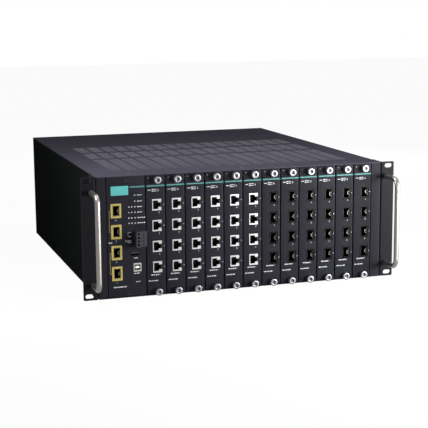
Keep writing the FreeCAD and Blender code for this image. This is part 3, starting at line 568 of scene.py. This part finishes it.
studio_camera(-18.0, 10.23, -0.44, Vector((-0.568, FRONT - 1.606, 0.4183)), 99.35)
print("camera ready")

# %% [markdown]
# ## Helpers for new pieces
# A new piece starts as a bmesh, is shaped by operators, and becomes an object that sits at the origin with its place
# in its mesh. It then rides on a body, names the slot it takes its finish from, and may stand for a solid.

# %% Helpers for pieces
def add_piece(name, bm, body, materials, stands_for=(), smooth=30):
    """Turn the finished mesh right side out and make it an object; edges sharper than smooth degrees stay sharp."""
    face_outward(bm)
    for face in bm.faces:
        face.smooth = True
    for edge in bm.edges:
        if len(edge.link_faces) == 2:
            edge.smooth = edge.calc_face_angle() < math.radians(smooth)
    mesh = bpy.data.meshes.new(name)
    bm.to_mesh(mesh)
    bm.free()
    for material in materials:
        mesh.materials.append(material)
    piece = bpy.data.objects.new(name, mesh)
    bpy.context.scene.collection.objects.link(piece)
    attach(piece, body)
    if stands_for:
        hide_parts(*stands_for)
    return piece


def face_outward(bm):
    """Turn every closed shell right side out; one that is inside out encloses a negative volume."""
    bmesh.ops.recalc_face_normals(bm, faces=bm.faces)
    unseen = set(bm.faces)
    while unseen:
        shell, found = [], [unseen.pop()]
        while found:
            face = found.pop()
            shell.append(face)
            near = {other for edge in face.edges for other in edge.link_faces} & unseen
            unseen -= near
            found.extend(near)
        centre = shell[0].calc_center_median()
        if sum((f.calc_center_median() - centre).dot(f.normal) * f.calc_area() for f in shell) < 0:
            bmesh.ops.reverse_faces(bm, faces=shell)


def bar(bm, low, high, corner=0.0, finish=0):
    """A bar between two corners, with its edges along Y rounded by corner."""
    low, high = Vector(low), Vector(high)
    made = bmesh.ops.create_cube(bm, size=1.0)["verts"]
    for vertex in made:
        vertex.co = Vector(((low[i] + high[i]) / 2 + vertex.co[i] * (high[i] - low[i]) for i in range(3)))
    edges = {e for v in made for e in v.link_edges}
    faces = {f for v in made for f in v.link_faces}
    for face in faces:
        face.material_index = finish
    if corner:
        along = [e for e in edges if abs(e.verts[0].co.y - e.verts[1].co.y) > 1e-9]
        bmesh.ops.bevel(bm, geom=along, offset=corner, affect="EDGES", segments=2, profile=0.5, material=-1)


print("piece helpers ready")

# %% [markdown]
# ## Soft edges on the plates
# The solids' plates have sharp corners, but a sheet that is folded and coated has none, and its corners catch a thin
# light on one side and shade on the other. A bevel modifier would round every hole as well. So the plate's own mesh
# is copied and merged, its flat faces are joined, and only the outer edges of the front are rounded.

# %% Soften the plates
PLATE_ROUND = 0.55 * MM
TOUCH = 0.01 * MM


def softened(node, name, body, materials, depth, radius=PLATE_ROUND):
    """A copy of a plate whose outer edges at the given depth are rounded."""
    low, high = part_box(node)
    bm = bmesh.new()
    bm.from_mesh(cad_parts[node].data)
    bmesh.ops.remove_doubles(bm, verts=bm.verts, dist=TOUCH / 10)
    bmesh.ops.dissolve_limit(bm, angle_limit=math.radians(1), verts=bm.verts, edges=bm.edges)

    def outer(edge):
        first, second = (v.co for v in edge.verts)
        at_front = abs(first.y - depth) < TOUCH and abs(second.y - depth) < TOUCH
        upright = any(abs(first.x - x) < TOUCH and abs(second.x - x) < TOUCH for x in (low.x, high.x))
        level = any(abs(first.z - z) < TOUCH and abs(second.z - z) < TOUCH for z in (low.z, high.z))
        return at_front and (upright or level)

    bmesh.ops.bevel(bm, geom=[e for e in bm.edges if outer(e)], offset=radius, affect="EDGES", segments=3,
                    profile=0.5, material=-1)
    return add_piece(name, bm, body, materials, [node])


for number in range(1, MODULES + 1):
    softened(module_name(number, "faceplate"), "plate_%02d" % number, "module_%02d" % number,
             [panel_coat], FRONT)
softened("main_panel", "plate_main", "chassis", [panel_coat], FRONT)
print("softened", MODULES + 1, "plates by %.2f mm" % (PLATE_ROUND / MM))

# %% [markdown]
# ## Thumbscrews
# Each module is held by two captive thumbscrews: a knurled nickel knob with a flat bright ring on its face and a
# recess for a driver. They could be cylinders with a bump, but the knurl catches the light from the side. So half
# a section is spun round the screw's axis, and every other edge of the barrel is pulled in to make the knurl.

# %% Turn the thumbscrews
KNOB_RADIUS = 5.3 * MM
KNURLS = 24
RECESS = 2.3                # radius in mm
RECESS_SHADE_RADIUS = 2.45 * MM   # within this radius a face wears a darker nickel, painted shade in the recess
KNURL_PULL = 0.94           # share of its radius that a pulled-in edge keeps


def thumbscrew(bm, x, front, back, z):
    """A knob from its front face back to the panel, at x and z."""
    length = back - front
    section = [(0.0, 1.6), (1.5, 1.5), (1.9, 1.1), (RECESS, 1.1), (2.5, 0.15), (2.8, 0.0), (4.75, 0.0), (5.1, 0.2),
               (5.3, 0.55), (5.3, length / MM - 1.6), (4.9, length / MM - 1.2), (4.9, length / MM), (0.0, length / MM)]
    verts = [bm.verts.new((x + r * MM, front + d * MM, z)) for r, d in section]
    edges = [bm.edges.new(pair) for pair in zip(verts, verts[1:])]
    bmesh.ops.spin(bm, geom=verts + edges, cent=(x, 0, z), axis=(0, 1, 0), angle=math.tau, steps=2 * KNURLS,
                   use_merge=True)
    made = {v for v in bm.verts if Vector((v.co.x - x, v.co.z - z)).length < KNOB_RADIUS + 0.1 * MM}
    bmesh.ops.remove_doubles(bm, verts=list(made), dist=1e-6)
    for vertex in bm.verts:
        arm = Vector((vertex.co.x - x, vertex.co.z - z))
        if abs(arm.length - KNOB_RADIUS) < 0.01 * MM:
            step = round(math.atan2(arm.y, arm.x) / (math.tau / (2 * KNURLS)))
            if step % 2:
                arm *= KNURL_PULL
                vertex.co.x, vertex.co.z = x + arm.x, z + arm.y
    # Faces in the recess wear the darker nickel, painted shade in the recess.
    for face in bm.faces:
        middle = face.calc_center_median()
        if Vector((middle.x - x, middle.z - z)).length < RECESS_SHADE_RADIUS:
            face.material_index = 1


for number in range(1, MODULES + 1):
    low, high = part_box(module_name(number, "thumbscrews"))
    bm = bmesh.new()
    for z in (low.z + KNOB_RADIUS, high.z - KNOB_RADIUS):
        thumbscrew(bm, (low.x + high.x) / 2, low.y, FRONT, z)
    add_piece("knobs_%02d" % number, bm, "module_%02d" % number,
              [screw_nickel, dull_nickel_and_recess_shade], [module_name(number, "thumbscrews")])
print("thumbscrews turned with", KNURLS, "knurls")

# %% [markdown]
# ## Handles
# A rack handle is a round bar bent twice and polished. A curve with a round bevel would do, but its section would
# turn with the curve's frame. Extruding a circle along the leg, spinning it through the bend and extruding it again
# follows the bender's own steps, and gives clean rings of faces.

# %% Bend the handles
BAR_SIDES = 32
BEND = 12.5 * MM


def bent_handle(name, node):
    low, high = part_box(node)
    radius = (high.x - low.x) / 2
    x = (low.x + high.x) / 2
    bottom, top = low.z + radius, high.z - radius
    grip = low.y + radius
    bm = bmesh.new()
    ring = bmesh.ops.create_circle(bm, segments=BAR_SIDES, radius=radius, cap_ends=True)["verts"]
    bmesh.ops.rotate(bm, verts=ring, cent=(0, 0, 0), matrix=Matrix.Rotation(math.radians(90), 3, "X"))
    bmesh.ops.translate(bm, verts=ring, vec=(x, high.y, bottom))
    end = list(bm.faces)
    edges = list({e for f in end for e in f.edges})

    def pull(geometry, move):
        made = bmesh.ops.extrude_edge_only(bm, edges=geometry)["geom"]
        verts = [g for g in made if isinstance(g, bmesh.types.BMVert)]
        bmesh.ops.translate(bm, verts=verts, vec=move)
        return [g for g in made if isinstance(g, bmesh.types.BMEdge) and all(v in verts for v in g.verts)]

    def turn(geometry, centre):
        verts = list({v for e in geometry for v in e.verts})
        made = bmesh.ops.spin(bm, geom=geometry + verts, cent=centre, axis=(1, 0, 0), angle=-math.radians(90), steps=12)
        return [g for g in made["geom_last"] if isinstance(g, bmesh.types.BMEdge)]

    edges = pull(edges, (0, grip + BEND - high.y, 0))
    edges = turn(edges, (x, grip + BEND, bottom + BEND))
    edges = pull(edges, (0, 0, top - bottom - 2 * BEND))
    edges = turn(edges, (x, grip + BEND, top - BEND))
    edges = pull(edges, (0, high.y - grip - BEND, 0))
    bmesh.ops.contextual_create(bm, geom=edges)
    return add_piece(name, bm, "chassis", [handle_polish], [node], smooth=60)


for side in ("left", "right"):
    made = bent_handle("grip_" + side, "handle_" + side)
    print(made.name, "has", len(made.data.polygons), "faces")

# %% [markdown]
# ## Perforated cover
# Behind the front edge the cover has seventeen columns of punched fields, in three rows. The solid has two plain
# slits in each field; the real sheet has a fine pattern of holes. A bump or a mask could only paint them, and the
# low view shows the bright rear wall of each hole. So a grid is laid over the sheet with lines wherever a field or a
# hole cell begins, each cell of a field is inset and opened, and the sheet is then given its thickness.

# %% Punch the cover
VENT_COLUMNS = 17
VENT_PITCH = 22 * MM
VENT_WIDTH = 17.4 * MM
VENT_ROWS = [(49 * MM, 129 * MM), (193 * MM, 64 * MM), (272 * MM, 64 * MM)]   # from the front edge, length
HOLE_PITCH = 3.45 * MM
HOLE_WEB = 0.62 * MM        # half the bar between two holes
LIP_INSET = 14 * MM


def field_lines(start, length):
    """Even lines over one field, so that its cells are close to the hole pitch."""
    cells = round(length / HOLE_PITCH)
    return [start + length * i / cells for i in range(cells + 1)]


def punched_cover():
    low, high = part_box("top_cover")
    columns = [(i - (VENT_COLUMNS - 1) / 2) * VENT_PITCH - VENT_WIDTH / 2 for i in range(VENT_COLUMNS)]
    xs = [low.x] + [x for start in columns for x in field_lines(start, VENT_WIDTH)] + [high.x]
    ys = [low.y, low.y + LIP_INSET]
    ys += [y for start, length in VENT_ROWS for y in field_lines(low.y + start, length)]
    ys += [high.y - LIP_INSET, high.y]
    bm = bmesh.new()
    bmesh.ops.create_grid(bm, x_segments=len(xs) - 1, y_segments=len(ys) - 1, size=0.5)
    for vertex in bm.verts:
        column = round((vertex.co.x + 0.5) * (len(xs) - 1))
        row = round((vertex.co.y + 0.5) * (len(ys) - 1))
        vertex.co = (xs[column], ys[row], high.z)

    def in_field(face):
        middle = face.calc_center_median()
        across = any(start < middle.x < start + VENT_WIDTH for start in columns)
        return across and any(start < middle.y - low.y < start + length for start, length in VENT_ROWS)

    cells = [face for face in bm.faces if in_field(face)]
    bmesh.ops.inset_individual(bm, faces=cells, thickness=HOLE_WEB)
    bmesh.ops.delete(bm, geom=cells, context="FACES_ONLY")
    bmesh.ops.solidify(bm, geom=list(bm.faces), thickness=SHEET)
    bm.normal_update()
    walls = 0
    for face in bm.faces:
        middle = face.calc_center_median()
        inner = low.x + SHEET < middle.x < high.x - SHEET and low.y + SHEET < middle.y < high.y - SHEET
        if inner and abs(face.normal.z) < 0.5:
            face.material_index = 1
            walls += 1
    for side in (-1, 1):
        edge = (low.x + high.x) / 2 + side * ((high.x - low.x) / 2 - SHEET - 0.3 * MM)
        bar(bm, (min(edge, edge - side * SHEET), low.y + LIP_INSET, low.z),
            (max(edge, edge - side * SHEET), high.y - LIP_INSET, high.z - SHEET))
    return bm, walls // 4


bm, holes = punched_cover()
add_piece("punched_cover", bm, "chassis", [cover_painted_sheen, edge_coat], ["top_cover"])
print("cover punched with", holes, "holes")

# %% [markdown]
# ## Print on the panels
# The panels carry a teal line, a plain teal block, small marks and port numbers. Only bars and plain numbers are
# used, and no name. Ink could be a mask in the coat's material, but screen print stands a little proud, so each
# mark is a thin plate with rounded corners. Numbers come from a text curve that is made into a mesh.

# %% Helpers for print
INK = 0.06 * MM
MAX_CORNER = 0.8 * MM


def mark(bm, left, right, low, high, finish=0):
    """A printed bar between two distances, all in metres."""
    corner = min((right - left) * 0.2, (high - low) * 0.2, MAX_CORNER)
    bar(bm, (left, FRONT - INK, low), (right, FRONT, high), corner, finish)


def line_of_print(bm, left, right, z, finish=0, tall=1.3 * MM):
    """A short line of small print, shown as word-like bars with gaps."""
    lengths = [3.1, 1.7, 2.4, 4.2, 1.3]
    gap = 0.7 * MM
    count = 0
    while left < right - gap:
        end = min(left + lengths[count % len(lengths)] * MM, right)
        mark(bm, left, end, z - tall / 2, z + tall / 2, finish)
        left = end + gap
        count += 1


def number_mark(bm, number, x, z, tall):
    curve = bpy.data.curves.new("number", "FONT")
    curve.body = str(number)
    curve.size = tall * 1.4
    curve.align_x = "CENTER"
    curve.align_y = "CENTER"
    curve.extrude = INK / 2
    curve.resolution_u = 2
    holder = bpy.data.objects.new("number", curve)
    mesh = bpy.data.meshes.new_from_object(holder)
    mesh.transform(Matrix.Translation((x, FRONT - INK / 2, z)) @ Matrix.Rotation(math.radians(90), 4, "X"))
    bm.from_mesh(mesh)
    bmesh.ops.remove_doubles(bm, verts=bm.verts, dist=TOUCH / 10)
    bpy.data.objects.remove(holder)
    bpy.data.curves.remove(curve)
    bpy.data.meshes.remove(mesh)


print("print helpers ready")

# %% Print the modules
TEAL_LOW = 159.1 * MM
TEAL_HIGH = 160.9 * MM
LABEL_DROP = 11.4 * MM      # a port's number below its centre
NUMBER_PLACE = 19.8 * MM    # from the left edge of the slot


def module_print(number):
    low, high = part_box(module_name(number, "faceplate"))
    edge = slot_edge(number)
    bm = bmesh.new()
    mark(bm, edge + 2.1 * MM, high.x - 0.1 * MM, TEAL_LOW, TEAL_HIGH, 1)
    mark(bm, edge + 3.5 * MM, edge + 8.2 * MM, 153.6 * MM, 154.6 * MM)
    line_of_print(bm, edge + 9.4 * MM, edge + 16.4 * MM, 154.9 * MM)
    line_of_print(bm, edge + 9.4 * MM, edge + 16.4 * MM, 152.4 * MM)
    mark(bm, edge + 18.4 * MM, edge + 19.6 * MM, 152.2 * MM, 154.6 * MM)
    mark(bm, edge + 4.1 * MM, edge + 5.4 * MM, 171.2 * MM, 171.8 * MM)
    for port, z in enumerate(MODULE_PORTS, 1):
        number_mark(bm, port, edge + NUMBER_PLACE, z - LABEL_DROP, 2.6 * MM)
    line_of_print(bm, edge + 6.9 * MM, edge + 18.3 * MM, MODULE_PORTS[0] - LABEL_DROP, tall=1.5 * MM)
    line_of_print(bm, edge + 3.3 * MM, edge + 16.8 * MM, 21.5 * MM)
    add_piece("print_%02d" % number, bm, "module_%02d" % number, [pale_ink, teal_line])


for number in range(1, MODULES + 1):
    module_print(number)
print("printed", MODULES, "modules")

# %% [markdown]
# ## Print on the main panel
# The main panel repeats the teal line, beside a plain teal block. Each uplink cage is framed by a yellow band, two
# thin brackets join the cages in pairs, and every light has a short line of print beside it.

# %% Print the main panel
FRAME_LEFT = 20.5
FRAME_RIGHT = 35.8
FRAME_TALL = 20.6 * MM
FRAME_BAND = 2.6 * MM
BRACKET = 0.4               # width of the thin line
LIGHTS_LEFT = 59.1
LIGHT_ROWS = [108.0, 115.6, 123.5, 131.5, 139.4, 148.2]


def band_frame(bm, left, right, low, high, band, finish):
    """A printed band around an opening, as four bars that overlap a little at the corners."""
    mark(bm, left, left + band, low, high, finish)
    mark(bm, right - band, right, low, high, finish)
    mark(bm, left + band * 0.9, right - band * 0.9, low, low + band, finish)
    mark(bm, left + band * 0.9, right - band * 0.9, high - band, high, finish)


bm = bmesh.new()
mark(bm, from_side(48.5), panel_high.x - 0.2 * MM, TEAL_LOW, TEAL_HIGH, 3)
mark(bm, from_side(21.1), from_side(46.4), 149 * MM, 162.2 * MM, 1)
for port, z in enumerate(UPLINKS, 1):
    band_frame(bm, from_side(FRAME_LEFT), from_side(FRAME_RIGHT), z - FRAME_TALL / 2, z + FRAME_TALL / 2,
               FRAME_BAND, 2)
    number_mark(bm, port, from_side(27.6), z - 13.4 * MM, 2.4 * MM)
for low, high in ((UPLINKS[2], UPLINKS[3]), (UPLINKS[0], UPLINKS[1])):
    mark(bm, from_side(18.0), from_side(18.0 + BRACKET), low, high, 2)
    mark(bm, from_side(18.0), from_side(FRAME_LEFT), low, low + BRACKET * MM, 2)
    mark(bm, from_side(18.0), from_side(FRAME_LEFT), high - BRACKET * MM, high, 2)
line_of_print(bm, from_side(16.2), from_side(22.0), 81.3 * MM)
line_of_print(bm, from_side(22.5), from_side(41.5), 16.2 * MM, tall=1.6 * MM)
for row, height in enumerate(LIGHT_ROWS):
    end = 70.4 if row < 2 else 66.2
    line_of_print(bm, from_side(LIGHTS_LEFT), from_side(end), height * MM)
line_of_print(bm, from_side(53.0), from_side(58.8), 57 * MM)
line_of_print(bm, from_side(52.4), from_side(62.4), 34.6 * MM)
line_of_print(bm, from_side(56.0), from_side(62.6), 22.2 * MM)
for height in (88.6, 94.6):
    mark(bm, from_side(44.6), from_side(49.8), height * MM, (height + 0.7) * MM)
mark(bm, from_side(44.6), from_side(45.3), 88.6 * MM, 95.3 * MM)
for height in (82.6, 80.2):
    line_of_print(bm, from_side(40.6 if height > 82 else 44.0), from_side(50.6), height * MM)
add_piece("print_main", bm, "chassis", [pale_ink, teal_ink, yellow_ink, teal_line])
print("main panel printed")

# %% [markdown]
# ## Module lights
# To the right of every port sits a light, the rounded end of a light guide that just shows through the plate. Half
# a section is spun round the guide's axis.

# %% Turn the lights
LIGHT_PLACE = 26.8 * MM
LIGHT_SECTION = [(0.0, -0.3), (0.3, -0.26), (0.55, -0.12), (0.65, 0.1), (0.65, 0.6), (0.0, 0.6)]   # radius, depth in mm


def turned(bm, section, x, front, z, steps=16, finish=0):
    """Spin a section of radii and depths round an axis along Y."""
    verts = [bm.verts.new((x + r * MM, front + d * MM, z)) for r, d in section]
    edges = [bm.edges.new(pair) for pair in zip(verts, verts[1:])]
    old = set(bm.faces)
    bmesh.ops.spin(bm, geom=verts + edges, cent=(x, 0, z), axis=(0, 1, 0), angle=math.tau, steps=steps,
                   use_merge=True)
    faces = [face for face in bm.faces if face not in old]
    for face in faces:
        face.material_index = finish
    bmesh.ops.remove_doubles(bm, verts=list({v for f in faces for v in f.verts}), dist=1e-6)
    return faces


for number in range(1, MODULES + 1):
    bm = bmesh.new()
    for z in MODULE_PORTS:
        turned(bm, LIGHT_SECTION, slot_edge(number) + LIGHT_PLACE, FRONT, z, 12)
    add_piece("lights_%02d" % number, bm, "module_%02d" % number, [guide_plastic])
print("turned", MODULES * len(MODULE_PORTS), "lights")

# %% [markdown]
# ## Springs and contacts in the ports
# A modular jack has eight gold wires that slope into its mouth, on the side away from the latch. A transceiver cage
# has a thin steel spring with a D-shaped outline at its mouth. Both are what the eye looks for in a dark port, so
# they are small pieces rather than paint. The spring is a strip of faces that is extruded to its thickness.

# %% Bend the contacts and latches
CONTACT_PITCH = 1.02 * MM
CONTACT_WIDE = 0.4 * MM
LATCH_DEEP = 0.7 * MM
LATCH_THICK = 0.25 * MM
LATCH_RIMS = [(2.8, 2.8), (1.9, 2.2)]      # half width and half height of the outer and inner edge, in mm


def contact(bm, x, z):
    """A wire that starts at the wall of the jack and slopes inwards, as a bar with a bend."""
    run = [(0.0, 2.2), (1.9, 5.2), (2.4, 8.6)]        # away from the wall, behind the front
    for (a, b), (c, d) in zip(run, run[1:]):
        made = bmesh.ops.create_cube(bm, size=1.0)["verts"]
        half = CONTACT_WIDE / 2
        for vertex in made:
            far = vertex.co.y > 0
            out, deep = (c, d) if far else (a, b)
            side = 0.15 if vertex.co.x > 0 else -0.15
            vertex.co = Vector((x + (out + side) * MM, FRONT + deep * MM, z + (half if vertex.co.z > 0 else -half)))


def latch(bm, right, z):
    """A thin spring with a D-shaped outline at the right of a cage's mouth, with its round side to the left."""
    rims = []
    for wide, tall in LATCH_RIMS:
        rims.append([bm.verts.new((right - wide * math.cos(a) * MM, FRONT + LATCH_DEEP, z + tall * math.sin(a) * MM))
                     for a in (math.radians(degrees) for degrees in range(-90, 91, 15))])
    outer, inner = rims
    faces = [bm.faces.new((a, b, c, d)) for a, b, c, d in zip(outer, outer[1:], inner[1:], inner)]
    pushed = bmesh.ops.extrude_face_region(bm, geom=faces)["geom"]
    bmesh.ops.translate(bm, verts=[g for g in pushed if isinstance(g, bmesh.types.BMVert)], vec=(0, LATCH_THICK, 0))


for number in range(1, MODULES + 1):
    bm = bmesh.new()
    for z in MODULE_PORTS:
        if number <= COPPER:
            left = slot_edge(number) + BOARD_LEFT - JACK_WIDTH
            for i in range(8):
                contact(bm, left + 1.3 * MM, z + (i - 3.5) * CONTACT_PITCH)
        else:
            latch(bm, slot_edge(number) + BOARD_LEFT - 0.75 * MM, z)
    name, finish = ("contacts", contact_gold) if number <= COPPER else ("latches", spring_steel)
    add_piece("%s_%02d" % (name, number), bm, "module_%02d" % number, [finish])
bm = bmesh.new()
for z in UPLINKS:
    latch(bm, from_side(28.25) + CAGE_WIDTH / 2 - 0.6 * MM, z)
add_piece("uplink_latches", bm, "chassis", [spring_steel])
print("contacts and latches bent")

# %% [markdown]
# ## Small screws
# Flush screws hold the cover, which nothing may overtop, and pan-headed ones hold the ears. Two black ones hold the
# main panel, and four clamp the wires of the alarm plug. A head is a spun section, and its cross is two thin flat bars
# in the face, in a darker finish that paints the shade of a cross recess.

# %% Drive the screws
PAN_HEAD = [(0.0, -0.35), (1.4, -0.33), (1.9, -0.2), (2.05, 0.0), (0.0, 0.0)]      # radius, depth in mm
FLUSH_HEAD = [(0.0, -0.02), (1.95, -0.02), (2.05, 0.0), (0.0, 0.0)]
COVER_SCREWS = (-168.6, 2.0, 168.6)                 # X of each in mm
COVER_SCREW_INSET = 16 * MM                         # from the front and rear edge of the cover
EAR_SCREW_INSET = 26 * MM                           # from the lower and upper end of an ear
EAR_SCREW_SETBACK = 8 * MM                          # from the rear edge of an ear
PANEL_SCREWS = ((-177, 169), (-175.5, 4.2))         # X and Z in mm
POLES = 4
POLE_PITCH = 5.08 * MM


def screw_head(bm, place, outward, section=PAN_HEAD, size=1.0):
    """A head with a cross at a place, facing outward; the cross is painted darker as the shade of a recess."""
    made = bmesh.new()
    turned(made, [(r * size, d * size) for r, d in section], 0, 0, 0, 20)
    face = section[0][1] * size * MM
    # The cross is two thin flat bars in the second finish, a darker colour painted as the shade of a cross recess.
    for wide, tall in ((1.9, 0.42), (0.42, 1.9)):
        bar(made, (-wide / 2 * size * MM, face - TOUCH, -tall / 2 * size * MM),
            (wide / 2 * size * MM, face + TOUCH, tall / 2 * size * MM), 0.0, 1)
    turn = Vector((0, -1, 0)).rotation_difference(Vector(outward)).to_matrix().to_4x4()
    mesh = bpy.data.meshes.new("head")
    made.to_mesh(mesh)
    made.free()
    mesh.transform(Matrix.Translation(place) @ turn)
    bm.from_mesh(mesh)
    bpy.data.meshes.remove(mesh)


bm = bmesh.new()
cover_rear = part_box("top_cover")[1].y
for x in COVER_SCREWS:
    for y in (FRONT + COVER_SCREW_INSET, cover_rear - COVER_SCREW_INSET):
        screw_head(bm, (x * MM, y, TOP), (0, 0, 1), FLUSH_HEAD)
for side, node in ((-1, "rack_ear_left"), (1, "rack_ear_right")):
    ear_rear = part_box(node)[1].y
    leg = side * (body_high.x + 1.9 * MM)
    for z in (EAR_SCREW_INSET, TOP - EAR_SCREW_INSET):
        screw_head(bm, (leg, ear_rear - EAR_SCREW_SETBACK, z), (side, 0, 0))
add_piece("small_screws", bm, "chassis", [dull_nickel_and_recess_shade, black_steel])

bm = bmesh.new()
for x, z in PANEL_SCREWS:
    screw_head(bm, (x * MM, FRONT - 0.02 * MM, z * MM), (0, -1, 0), PAN_HEAD, 0.75)
add_piece("panel_screws", bm, "chassis", [black_steel, black_plastic])

bm = bmesh.new()
plug_low, plug_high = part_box("alarm_plug")
plug_middle = (plug_low.z + plug_high.z) / 2
for pole in range(POLES):
    height = plug_middle + (pole - (POLES - 1) / 2) * POLE_PITCH
    screw_head(bm, (plug_high.x - 4.2 * MM, plug_low.y + 3.3 * MM, height), (0, -1, 0), PAN_HEAD, 0.9)
add_piece("clamp_screws", bm, "alarm_terminal", [black_steel, black_plastic])
print("screws driven")

# %% [markdown]
# ## Show the sizes and finish
# The box of the dressed model is compared with the box of the solids, because nothing added here may make the
# product larger.

# %% Finish
low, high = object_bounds()
{"cad": [list(cad_low), list(cad_high)], "visual": [list(low), list(high)]}
print("grew by", [round((a - b) / MM, 2) for a, b in zip(high - low, cad_high - cad_low)], "mm")
